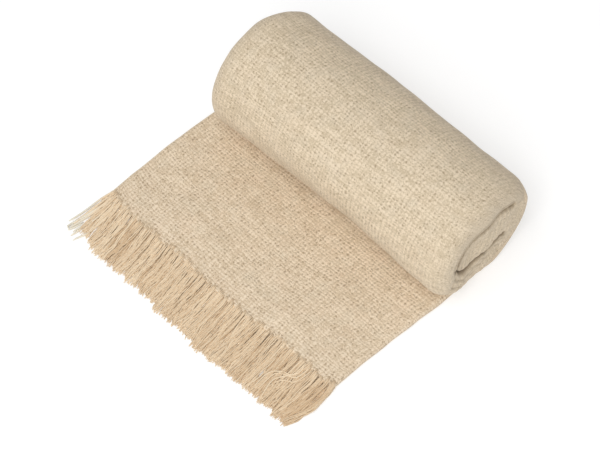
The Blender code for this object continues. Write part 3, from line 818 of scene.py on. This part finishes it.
# %% One yarn for every warp of every layer
layer = np.repeat(np.arange(LAYERS), per_layer).astype(float)
row_x = np.linspace(fringe_left, fringe_right, per_layer)
root_x = np.tile(row_x, LAYERS) + rng.normal(0, ROOT_JITTER * WARP_PITCH, yarns)
layer_shift = rng.permuted(np.tile(LAYER_SHIFTS, (per_layer, 1)), axis=1).T.ravel() * WARP_PITCH
root_x = np.clip(root_x + layer_shift, fringe_left, fringe_right)
clump_middles = np.arange(-CLUMP_REACH, CLUMP_REACH, CLUMP_PITCH)
clump_jitter = rng.uniform(-CLUMP_JITTER, CLUMP_JITTER, len(clump_middles)) * CLUMP_PITCH
clump_middles = clump_middles + clump_jitter
mixed_x = root_x + rng.normal(0, CLUMP_MIX, yarns)
own_clump = np.abs(mixed_x[:, None] - clump_middles).argmin(axis=1)
clump_shift = (clump_middles[own_clump] - root_x) * rng.uniform(0.0, CLUMP_PULL, yarns) * (layer > 0)
length = between(FRINGE_LEFT, FRINGE_RIGHT, soft_step(root_x / STRIP_WIDTH + 0.5))
length = length + rng.uniform(*YARN_UNEVEN, yarns)
length = length + rng.uniform(*CLUMP_UNEVEN, CLUMPS_MOST)[own_clump]
print(yarns, "yarns in", LAYERS, "layers, in mm:", np.round(1000 * np.array([length.min(), length.max()])))


def spread_out(low, high):
    """A random value for each yarn, as a column beside its steps."""
    return rng.uniform(low, high, (yarns, 1))


# %% How the yarns wave from side to side
STRAND_STEPS = 14
WAVES = [
    {"turns": (0.4, 1.2), "reach": 0.00190},
    {"turns": (1.6, 3.2), "reach": 0.000855},
    {"turns": (3.5, 6.0), "reach": 0.000304},
]
WAVE_SPREAD = (0.3, 1.0)
LOWEST_WAVE = 0.5

way = np.linspace(0.0, 1.0, STRAND_STEPS + 1)
wave_turns = [spread_out(*wave["turns"]) for wave in WAVES]
wander = 0.0
for turns, wave in zip(wave_turns, WAVES):
    phase = spread_out(0, 2 * pi)
    swing = np.sin(2 * pi * turns * way + phase) - np.sin(phase)
    wander = wander + wave["reach"] * spread_out(*WAVE_SPREAD) * swing
wander = wander * np.where(layer == 0, LOWEST_WAVE, 1.0)[:, None]

# %% The way of each yarn, to the side, forwards and down to the floor
CORNER_BOW = 0.0040
CORNER_TUCK = 0.0035
CORNER_LEAN = 0.0030
CORNER_RUN_IN = 0.0160
CLUMP_POWER = 1.5
WAVE_POWER = 0.8
STRAND_RADIUS = 0.00073
ROOT_BACK = (0.0016, 0.0064)
ROOT_SINK = 0.0003
ROOT_LIFT = 0.0006
REST_LIFT = 0.0003
PILE = (0.00035, 0.00077)
ARCH = 0.0006
DROOP_STARTS = 0.0005
DROOP_POWER = 2.2

root_column = root_x[:, None]
length_column = length[:, None]
layer_column = layer[:, None]
near_right = hump(root_column - HALF_STRIP + CORNER_LEAN, CORNER_RUN_IN)
yarn_x = root_column + clump_shift[:, None] * way ** CLUMP_POWER + wander * way ** WAVE_POWER
yarn_x = yarn_x + soft_table(FRINGE_LEAN, "x", "lean", root_column) * length_column * way
yarn_x = yarn_x + near_right * (CORNER_BOW * np.sin(pi * way ** 0.5) - CORNER_TUCK * (1 - way) ** 3
                                - CORNER_LEAN * way ** 2)
hem = hem_distance(root_column)
root_back = spread_out(*ROOT_BACK)
yarn_y = root_back - hem - (length_column + root_back) * way
past_hem = np.clip((-yarn_y - hem + DROOP_STARTS) / length_column, 0.0, 1.0)
root_z = between(STRAND_RADIUS + ROOT_LIFT, HEM_THICKNESS - ROOT_SINK, layer_column / (LAYERS - 1))
rest_z = STRAND_RADIUS + REST_LIFT + layer_column * spread_out(*PILE)
yarn_z = between(rest_z, root_z, (1 - past_hem) ** DROOP_POWER)
yarn_z = yarn_z + spread_out(0.0, ARCH) * np.sin(pi * past_hem) ** 2 * (layer_column > 0)
yarn_paths = np.stack(np.broadcast_arrays(yarn_x, yarn_y, yarn_z), axis=-1)

# %% Five strands round the middle of each yarn
STRANDS_EACH = 5
STRAND_STARTS = (0.0, 0.6)
STRAND_TURNS = (0.4, 1.5)
YARN_LOOSE = 0.00125
TIP_LOOSE = 0.00190
LOOSE_SPREAD = (0.6, 1.3)
YARN_FLAT = 0.40
TIP_BACK = (-0.0005, 0.0045)
THICK_SPREAD = (0.75, 1.25)
LOWEST_THICKER = 1.4
FLOOR_ROOM = 0.0001

strand_paths = []
strand_radii = []
for number in range(STRANDS_EACH):
    strand_start = spread_out(*STRAND_STARTS)
    strand_turn = strand_start + 2 * pi * (number / STRANDS_EACH + spread_out(*STRAND_TURNS) * way)
    loose = between(YARN_LOOSE, TIP_LOOSE, way ** 2) * spread_out(*LOOSE_SPREAD)
    aside = loose * np.cos(strand_turn)
    above = YARN_FLAT * loose * np.sin(strand_turn)
    tip_back = spread_out(*TIP_BACK) * way ** 2
    radius = STRAND_RADIUS * spread_out(*THICK_SPREAD)
    radius = radius * np.where(layer_column == 0, LOWEST_THICKER, 1.0)
    strand = yarn_paths + np.stack([aside, tip_back, above], axis=-1)
    strand[..., 2] = np.maximum(strand[..., 2], radius + FLOOR_ROOM)
    strand_paths.append(strand)
    strand_radii.append(radius * np.ones(STRAND_STEPS + 1))
strand_paths = np.concatenate(strand_paths)
strand_radii = np.concatenate(strand_radii)
print(len(strand_paths), "strands")

# %% The tone of each strand, from dark to light
STRAND_TONE = 0.55
TONE_SPREAD = 0.16
CLUMP_TONE = 0.10
OUTER_TONE = 3.0
OUTER_STARTS = 0.06
OUTER_RUN = 0.06
RIGHT_DARKER = 0.22
RIGHT_STARTS = 0.04
RIGHT_RUN = 0.08

outer_part = soft_step((np.abs(root_x) - OUTER_STARTS) / OUTER_RUN)
clump_tones = rng.normal(0.0, CLUMP_TONE, CLUMPS_MOST)[own_clump] * between(1.0, OUTER_TONE, outer_part)
clump_tones = clump_tones - RIGHT_DARKER * soft_step((root_x - RIGHT_STARTS) / RIGHT_RUN)
strand_tones = rng.normal(STRAND_TONE, TONE_SPREAD, len(strand_paths)) + np.tile(clump_tones, STRANDS_EACH)
strand_tones = np.clip(strand_tones, 0, 1)

# %% Stray yarns: six at the left corner, with a flat loop, and a wisp of four near the right one
STRAYS = [
    {"start": 0.0058, "end": 0.0016, "radius": 0.00115, "tone": 1.45,
     "route": [(-0.1600, -0.1840), (-0.1632, -0.2000), (-0.1645, -0.2200), (-0.1660, -0.2330),
               (-0.1675, -0.2405)]},
    {"start": 0.0052, "end": 0.0017, "radius": 0.00140, "tone": 1.40,
     "route": [(-0.1560, -0.1900), (-0.1564, -0.2026), (-0.1580, -0.2170), (-0.1600, -0.2281),
               (-0.1622, -0.2390), (-0.1630, -0.2450), (-0.1610, -0.2478), (-0.1585, -0.2460),
               (-0.1572, -0.2400), (-0.1555, -0.2310)]},
    {"start": 0.0044, "end": 0.0016, "radius": 0.00160, "tone": 1.30,
     "route": [(-0.1545, -0.1980), (-0.1562, -0.2150), (-0.1585, -0.2300), (-0.1604, -0.2445)]},
    {"start": 0.0048, "end": 0.0016, "radius": 0.00110, "tone": 1.40,
     "route": [(-0.1530, -0.1980), (-0.1518, -0.2178), (-0.1530, -0.2347), (-0.1547, -0.2462)]},
    {"start": 0.0048, "end": 0.0016, "radius": 0.00120, "tone": 1.25,
     "route": [(-0.1510, -0.1960), (-0.1495, -0.2194), (-0.1510, -0.2333), (-0.1516, -0.2421),
               (-0.1525, -0.2508)]},
    {"start": 0.0048, "end": 0.0016, "radius": 0.00110, "tone": 1.30,
     "route": [(-0.1440, -0.1960), (-0.1418, -0.2235), (-0.1431, -0.2403), (-0.1455, -0.2461),
               (-0.1469, -0.2528)]},
    {"start": 0.0066, "end": 0.0036, "radius": 0.00095, "tone": 0.95,
     "route": [(0.1193, -0.1900), (0.1212, -0.2024), (0.1161, -0.2106), (0.1089, -0.2240),
               (0.1137, -0.2440)]},
    {"start": 0.0066, "end": 0.0036, "radius": 0.00085, "tone": 0.85,
     "route": [(0.1251, -0.1900), (0.1236, -0.2065), (0.1150, -0.2112), (0.1053, -0.2176),
               (0.1053, -0.2400)]},
    {"start": 0.0066, "end": 0.0034, "radius": 0.00085, "tone": 0.95,
     "route": [(0.1188, -0.1900), (0.1188, -0.2071), (0.1083, -0.2117), (0.1000, -0.2216),
               (0.1009, -0.2400)]},
    {"start": 0.0064, "end": 0.0030, "radius": 0.00075, "tone": 0.80,
     "route": [(0.1290, -0.1900), (0.1255, -0.2110), (0.1160, -0.2170), (0.1110, -0.2290),
               (0.1150, -0.2480)]},
]
STRAY_DROOP = 1.4

for stray in STRAYS:
    route = smooth_curve(stray["route"], STRAND_STEPS)
    route_height = between(stray["end"], stray["start"], (1 - way) ** STRAY_DROOP)
    strand_paths = np.concatenate([strand_paths, np.column_stack([route, route_height])[None]])
    strand_radii = np.concatenate([strand_radii, np.full((1, STRAND_STEPS + 1), stray["radius"])])
    strand_tones = np.append(strand_tones, stray["tone"])


# %% Tubes along many paths, as one mesh
STRAND_SIDES = 4
TIP_TAPER = (0.85, 0.40)


def add_strands(name, paths, radii, tones):
    """Tubes of a few sides along paths, with a UV map of (round, along) and a tone for each one."""
    count, steps = paths.shape[:2]
    tangent = np.gradient(paths, axis=1)
    tangent /= np.linalg.norm(tangent, axis=-1, keepdims=True)
    side = np.cross(tangent, [0.0, 0.0, 1.0])
    side /= np.linalg.norm(side, axis=-1, keepdims=True)
    over = np.cross(side, tangent)
    angle = np.linspace(0, 2 * pi, STRAND_SIDES, endpoint=False)[:, None]
    ring = (np.cos(angle) * side[:, :, None] + np.sin(angle) * over[:, :, None]) * radii[:, :, None, None]
    points = (paths[:, :, None] + ring).reshape(-1, 3)
    number = np.arange(count * steps * STRAND_SIDES).reshape(count, steps, STRAND_SIDES)
    after = np.roll(number, -1, axis=2)
    quads = np.stack([number[:, :-1], after[:, :-1], after[:, 1:], number[:, 1:]], axis=-1).reshape(-1, 4)
    caps = np.concatenate([number[:, 0, ::-1], number[:, -1]])
    mesh = bpy.data.meshes.new(name)
    mesh.from_pydata(points.tolist(), [], quads.tolist() + caps.tolist())
    along = path_lengths(paths, axis=1)
    uv_map = mesh.uv_layers.new(name="cloth")
    corner = np.empty(len(mesh.loops), dtype=int)
    mesh.loops.foreach_get("vertex_index", corner)
    side_number = corner % STRAND_SIDES
    quad_sides = side_number[:4 * len(quads)].reshape(-1, 4)
    closes = (quad_sides.max(axis=1) == STRAND_SIDES - 1) & (quad_sides.min(axis=1) == 0)
    wraps = np.zeros(len(corner))
    wraps[:4 * len(quads)] = ((quad_sides == 0) & closes[:, None]).ravel()
    u = side_number / STRAND_SIDES + wraps
    v = along.reshape(-1)[corner // STRAND_SIDES]
    uv_map.data.foreach_set("uv", np.stack([u, v], axis=1).ravel())
    tone = mesh.attributes.new("tone", "FLOAT", "POINT")
    tone.data.foreach_set("value", np.repeat(tones, steps * STRAND_SIDES).astype(np.float32))
    mesh.update()
    piece = bpy.data.objects.new(name, mesh)
    bpy.context.scene.collection.objects.link(piece)
    return sew([piece], name)


tip = np.ones(STRAND_STEPS + 1)
tip[-2:] = TIP_TAPER
fringe = add_strands("fringe", strand_paths, strand_radii * tip, strand_tones)
report(fringe)

# %% [markdown]
# ## Finishes
# Shader maths reads best as plain expressions. The small class below wraps a socket, so that adding
# or multiplying two of them adds the Math node that does it.

# %% Shader maths in Python
class Wire:
    """A value or colour on its way through a material."""

    def __init__(self, tree, socket=None):
        self.tree = tree
        self.socket = socket

    def node(self, kind, settings=None, inputs=None, output=0):
        """Add a node: its settings first, then the values or links of its sockets."""
        made = self.tree.nodes.new(kind)
        for name, value in (settings or {}).items():
            setattr(made, name, value)
        for name, value in (inputs or {}).items():
            if isinstance(value, Wire):
                self.tree.links.new(value.socket, made.inputs[name])
            else:
                made.inputs[name].default_value = value
        return Wire(self.tree, made.outputs[output])

    def feed(self, shader, name):
        """Lead this value into a socket of the shader."""
        self.tree.links.new(self.socket, shader.inputs[name])

    def math(self, operation, *values):
        return self.node("ShaderNodeMath", {"operation": operation}, dict(enumerate(values)))

    def __add__(self, other):
        return self.math("ADD", self, other)

    def __radd__(self, other):
        return self.math("ADD", other, self)

    def __sub__(self, other):
        return self.math("SUBTRACT", self, other)

    def __rsub__(self, other):
        return self.math("SUBTRACT", other, self)

    def __mul__(self, other):
        return self.math("MULTIPLY", self, other)

    def __rmul__(self, other):
        return self.math("MULTIPLY", other, self)

    def __truediv__(self, other):
        return self.math("DIVIDE", self, other)

    def step(self, low, high):
        """A soft step from 0 at low to 1 at high."""
        return self.node("ShaderNodeMapRange", {"interpolation_type": "SMOOTHSTEP"},
                         {"Value": self, "From Min": low, "From Max": high})

    def sin(self):
        return self.math("SINE", self)

    def root(self):
        return self.math("SQRT", self)

    def floor(self):
        return self.math("FLOOR", self)

    def abs(self):
        return self.math("ABSOLUTE", self)

    def larger(self, other):
        return self.math("MAXIMUM", self, other)

    def places(self):
        """The two lengths of the UV map, in metres."""
        uv_map = self.node("ShaderNodeUVMap", {"uv_map": "cloth"})
        split = self.node("ShaderNodeSeparateXYZ", None, {0: uv_map})
        return split, Wire(self.tree, split.socket.node.outputs[1])

    def mark(self, name):
        """A value that is kept on the mesh."""
        return self.node("ShaderNodeAttribute", {"attribute_name": name}, output=2)

    def noise(self, x, y, seed, detail=2.0):
        """Soft noise from 0 to 1 at a place worked out by the caller."""
        place = self.node("ShaderNodeCombineXYZ", None, {"X": x, "Y": y, "Z": seed})
        return self.node("ShaderNodeTexNoise", None,
                         {"Vector": place, "Scale": 1.0, "Detail": detail, "Roughness": 0.55})

    def drift(self, x, y, seed):
        """Soft noise that goes both ways from 0."""
        return self.noise(x, y, seed) - 0.5

    def random(self, x, y, seed):
        """One random value from 0 to 1 for each whole place."""
        place = self.node("ShaderNodeCombineXYZ", None, {"X": x, "Y": y, "Z": seed + 0.5})
        return self.node("ShaderNodeTexWhiteNoise", {"noise_dimensions": "3D"}, {"Vector": place})

    def mix(self, low, high):
        """A colour from low to high by this value."""
        return self.node("ShaderNodeMix", {"data_type": "RGBA"}, {0: self, 6: low, 7: high}, output=2)


def new_finish(name):
    """A matt woollen material with a plain Principled shader, and a wire to build on."""
    material = bpy.data.materials.new(name)
    material.use_nodes = True
    shader = material.node_tree.nodes["Principled BSDF"]
    shader.inputs["Roughness"].default_value = 0.95
    shader.inputs["Specular IOR Level"].default_value = 0.15
    shader.inputs["Sheen Weight"].default_value = 0.10
    shader.inputs["Sheen Roughness"].default_value = 0.5
    return material, shader, Wire(material.node_tree)


def linear(red, green, blue):
    """A colour as seen on a screen, from 0 to 255, as the shader needs it."""
    values = []
    for value in (red, green, blue):
        part = value / 255
        values.append(part / 12.92 if part <= 0.04045 else ((part + 0.055) / 1.055) ** 2.4)
    return (*values, 1.0)


# %% [markdown]
# ### The weave
# The cloth is a plain weave: each yarn goes over one and under the next. The UV map is in metres, so
# dividing it by the yarn pitch numbers the yarns both ways. The sine of that number is a yarn's round
# back, and the sine of the other one, turned over from yarn to yarn, lifts and sinks it. The yarns are
# thick and thin, so noise makes the grid wander, and the weft most of all.
#
# Where four yarns meet there may be a small gap, with its own place and size, and shade is painted into
# it as a dark brown. Whole clusters of gaps close, above all where the wool is felted. Every yarn and
# every crossing has its own tone, long faint streaks run along the weft, and the wool has greyer and
# warmer patches. Where the weave lies low, painted shade makes it darker. Two marks on the mesh say
# where it is felted, which makes it greyer and smoother, and how much shade is painted along the
# creases and in the holes of the roll's ends.
#
# The last number that a noise is given only picks another pattern, as a seed does.

# %% The grid of yarns
WEFT_PITCH = 0.0034
WANDER_RUN = 0.014
WANDER = 1.1
STREAK_LONG = 0.060
STREAK_SHORT = 0.0080
STREAK_WANDER = 1.6
FINE_RUN = 0.0045
FINE_WARP = 0.45
FINE_WEFT = 0.55


def yarn_grid(wire, u, v):
    """Where a place lies among the yarns: how many along, which ones, and the rounds of their backs."""
    s = u / WARP_PITCH + wire.drift(u / WANDER_RUN, v / WANDER_RUN, 3.0) * WANDER
    t = v / WEFT_PITCH + wire.drift(u / WANDER_RUN, v / WANDER_RUN, 8.0) * WANDER
    t = t + wire.drift(u / STREAK_LONG, v / STREAK_SHORT, 28.0) * STREAK_WANDER
    s = s + wire.drift(u / FINE_RUN, v / FINE_RUN, 13.0) * FINE_WARP
    t = t + wire.drift(u / FINE_RUN, v / FINE_RUN, 18.0) * FINE_WEFT
    return {"s": s, "t": t, "warp": s.floor(), "weft": t.floor(),
            "warp_back": (s * pi).sin(), "weft_back": (t * pi).sin()}


# %% How high the yarns lie
MIDDLE_HEIGHT = 0.60
OVER_UNDER = 0.40
THINNEST = 0.70
THICKER = 0.60
THICK_RUN = 0.28
WARP_APART = 5.17
WEFT_APART = 3.71


def yarn_height(wire, grid):
    """The height of whichever yarn is on top, each of them thick and thin along its way."""
    lift = grid["weft_back"] * (grid["warp"] * pi + pi / 2).sin()
    sink = grid["warp_back"] * (grid["weft"] * pi + pi / 2).sin()
    thick_warp = THINNEST + THICKER * wire.noise(grid["warp"] * WARP_APART, grid["t"] * THICK_RUN, 1.0)
    thick_weft = THINNEST + THICKER * wire.noise(grid["weft"] * WEFT_APART, grid["s"] * THICK_RUN, 5.0)
    warp = grid["warp_back"].abs() * (MIDDLE_HEIGHT + OVER_UNDER * lift) * thick_warp
    weft = grid["weft_back"].abs() * (MIDDLE_HEIGHT - OVER_UNDER * sink) * thick_weft
    return warp.larger(weft)


# %% The gaps between the yarns
GAP_SHIFT = 0.50
GAP_SMALL = 0.16
GAP_LARGER = 0.26
GAP_CORE = 0.30
CLUSTER_RUN = 0.011
OWN_CHANCE = 0.7
CLUSTER_CHANCE = 0.8
FELT_CLOSES = 0.4
CHANCE_RUN = 0.30


def gap_depth(wire, u, v, grid, felted, open_share):
    """How far a place lies in a gap, from 0 to 1."""
    near_warp = (grid["s"] + 0.5).floor()
    near_weft = (grid["t"] + 0.5).floor()
    gap_s = grid["s"] - near_warp - (wire.random(near_warp, near_weft, 1.0) - 0.5) * GAP_SHIFT
    gap_t = grid["t"] - near_weft - (wire.random(near_warp, near_weft, 2.0) - 0.5) * GAP_SHIFT
    away = (gap_s * gap_s + gap_t * gap_t).root()
    size = GAP_SMALL + GAP_LARGER * wire.random(near_warp, near_weft, 3.0)
    cluster = wire.noise(u / CLUSTER_RUN, v / CLUSTER_RUN, 12.0)
    chance = wire.random(near_warp, near_weft, 4.0) * OWN_CHANCE + cluster * CLUSTER_CHANCE
    chance = chance - felted * FELT_CLOSES
    is_open = chance.step(1 - open_share, 1 + CHANCE_RUN - open_share)
    return is_open * (1 - (away / size).step(GAP_CORE, 1.0))


# %% The tone of the wool, from dark to light
YARN_TONE = 0.9
YARN_TONE_RUN = 0.16
WARP_TONES_APART = 9.31
WEFT_TONES_APART = 7.77
FIBRE_TONE = 1.9
FELT_FIBRE = 1.4
KNOT_TONE = 0.6
HEIGHT_SHADE = 0.50
FELT_LEVELS = 0.6
SLUB_LONG = 0.070
SLUB_SHORT = 0.0060


def wool_tone(wire, u, v, grid, height, fibres, felted, slubs):
    """Tones of the single yarns, their fibres and crossings, and the streaks along the weft, with shade
    painted where the weave lies low.
    """
    warp_tone = wire.noise(grid["warp"] * WARP_TONES_APART, grid["t"] * YARN_TONE_RUN, 20.0)
    weft_tone = wire.noise(grid["weft"] * WEFT_TONES_APART, grid["s"] * YARN_TONE_RUN, 25.0)
    knot = (wire.random(grid["warp"], grid["weft"], 6.0) - 0.5) * grid["warp_back"].abs()
    knot = knot * grid["weft_back"].abs()
    tone = (warp_tone + weft_tone) * 0.5 * YARN_TONE + (fibres - 0.5) * (FIBRE_TONE + FELT_FIBRE * felted)
    # Painted shade: the lower the top yarn lies, the darker it is
    tone = tone + knot * KNOT_TONE + (height - MIDDLE_HEIGHT) * HEIGHT_SHADE * (1 - FELT_LEVELS * felted)
    return tone + wire.drift(u / SLUB_LONG, v / SLUB_SHORT, 33.0) * slubs


# %% A woven finish
# The colour of the shade painted along the creases and in the holes of the roll's ends
CREASE_SHADE_COLOUR = linear(108, 88, 64)
FELT_GREY = linear(200, 185, 162)
FIBRE_RUN = 0.0014
TONE_DARK = 0.12
TONE_LIGHT = 0.83
TINTS = [
    {"tint": "warm", "run": 0.022, "seed": 40.0},
    {"tint": "grey", "run": 0.019, "seed": 60.0},
]
TINT_STARTS = 0.45
TINT_FULL = 0.75
TINT_SHARE = 0.22
FELT_SHARE = 0.55
GAP_SHADE_SHARE = 0.48
CREASE_SHADE_SHARE = 0.85
GAP_SINKS = 0.7
FIBRE_RELIEF = 0.45
WEAVE_BUMP = {"Strength": 0.50, "Distance": 0.0009}


def weave_finish(name, wool):
    """A plain weave in light and dark wool, with shade painted in the gaps between the yarns and along the
    creases, and warm and grey patches.
    """
    material, shader, wire = new_finish(name)
    u, v = wire.places()
    crease = wire.mark("crease")
    felted = wire.mark("felted")
    grid = yarn_grid(wire, u, v)
    height = yarn_height(wire, grid)
    gap = gap_depth(wire, u, v, grid, felted, wool["open_share"])
    fibres = wire.noise(u / FIBRE_RUN, v / FIBRE_RUN, 2.0, detail=1.0)

    tone = wool_tone(wire, u, v, grid, height, fibres, felted, wool["slubs"])
    colour = tone.step(TONE_DARK, TONE_LIGHT).mix(wool["dark"], wool["light"])
    for patch in TINTS:
        tinted = wire.noise(u / patch["run"], v / patch["run"], patch["seed"])
        colour = (tinted.step(TINT_STARTS, TINT_FULL) * TINT_SHARE).mix(colour, wool[patch["tint"]])
    colour = (felted * FELT_SHARE).mix(colour, FELT_GREY)
    # Painted shade in the gaps between the yarns
    colour = (gap * GAP_SHADE_SHARE).mix(colour, wool["gap"])
    # Painted shade along the creases and in the holes of the roll's ends
    colour = (crease * CREASE_SHADE_SHARE).mix(colour, CREASE_SHADE_COLOUR)

    relief = height * (1 - GAP_SINKS * gap) * (1 - FELT_LEVELS * felted) + fibres * FIBRE_RELIEF
    bumped = wire.node("ShaderNodeBump", None, {"Height": relief, **WEAVE_BUMP})
    colour.feed(shader, "Base Color")
    bumped.feed(shader, "Normal")
    return material


# %% The two cloths: the roll is more felted, and the loose end more open
# The gap colour of each cloth is the shade painted in the gaps between its yarns
WOOLS = {
    "felted_wool": {
        "light": linear(226, 209, 184), "dark": linear(196, 179, 152), "gap": linear(132, 112, 88),
        "warm": linear(219, 199, 173), "grey": linear(206, 195, 176), "open_share": 0.44, "slubs": 0.8,
    },
    "open_wool": {
        "light": linear(234, 216, 191), "dark": linear(204, 184, 156), "gap": linear(128, 104, 78),
        "warm": linear(228, 203, 176), "grey": linear(217, 206, 184), "open_share": 0.47, "slubs": 0.5,
    },
}
for piece, name in ((rolled_cloth, "felted_wool"), (loose_end, "open_wool")):
    piece.data.materials.clear()
    piece.data.materials.append(weave_finish(name, WOOLS[name]))
    print(name, "on", piece.name)

# %% [markdown]
# ### The yarn
# A loose strand shows its fibres as stripes along its own UV map. Each one also has its own tone,
# kept as a mark on its mesh. It is lighter near its root, and where its tone is above 1, as on the
# strays at the left corner, its outer part is grey.

# %% A spun yarn
PLY_RUN = 0.0045
PLY_TONE = 0.06
PLY_RELIEF = 0.4
STRIPES_ROUND = 4.0
STRIPE_RUN = 0.0020
STRANDS_APART = 40.0
OWN_TONE = 0.6
STRIPE_TONE = 0.5
TONE_ENDS = (0.15, 0.85)
ROOT_ENDS = (0.004, 0.020)
ROOT_SHARE = 0.45
GREY_FROM = (0.012, 0.034)
GREY_TONE = (0.0, 0.4)
YARN_BUMP = {"Strength": 0.22, "Distance": 0.0004}


def yarn_finish(name, light, dark, grey):
    """Spun yarn with stripes of fibres, light at its root and grey where its tone says so."""
    material, shader, wire = new_finish(name)
    u, v = wire.places()
    own = wire.mark("tone")
    ply = ((u + v / PLY_RUN) * (2 * pi)).sin()
    fibres = wire.noise(u * STRIPES_ROUND, v / STRIPE_RUN, own * STRANDS_APART, detail=3.0)
    tone = own * OWN_TONE + fibres * STRIPE_TONE + ply * PLY_TONE
    colour = tone.step(*TONE_ENDS).mix(dark, light)
    near_root = 1 - v.step(*ROOT_ENDS)
    colour = (near_root * ROOT_SHARE).mix(colour, light)
    colour = ((own - 1.0).step(*GREY_TONE) * v.step(*GREY_FROM)).mix(colour, grey)
    bumped = wire.node("ShaderNodeBump", None, {"Height": ply * PLY_RELIEF + fibres, **YARN_BUMP})
    colour.feed(shader, "Base Color")
    bumped.feed(shader, "Normal")
    return material


spun_yarn = yarn_finish("spun_yarn", linear(235, 215, 186), linear(211, 184, 150), linear(229, 222, 205))
fringe.data.materials.append(spun_yarn)
print(spun_yarn.name, "on", fringe.name)

# %% [markdown]
# ## The body
# Every piece rides on the one body, and the imported solids of the cloth and the yarns are hidden.

# %% The body, and the imported solids hidden
for piece in (rolled_cloth, loose_end, fringe):
    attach(piece, "root")
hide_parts("throw_cloth")
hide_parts("throw_cloth")
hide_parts("fringe_yarns")
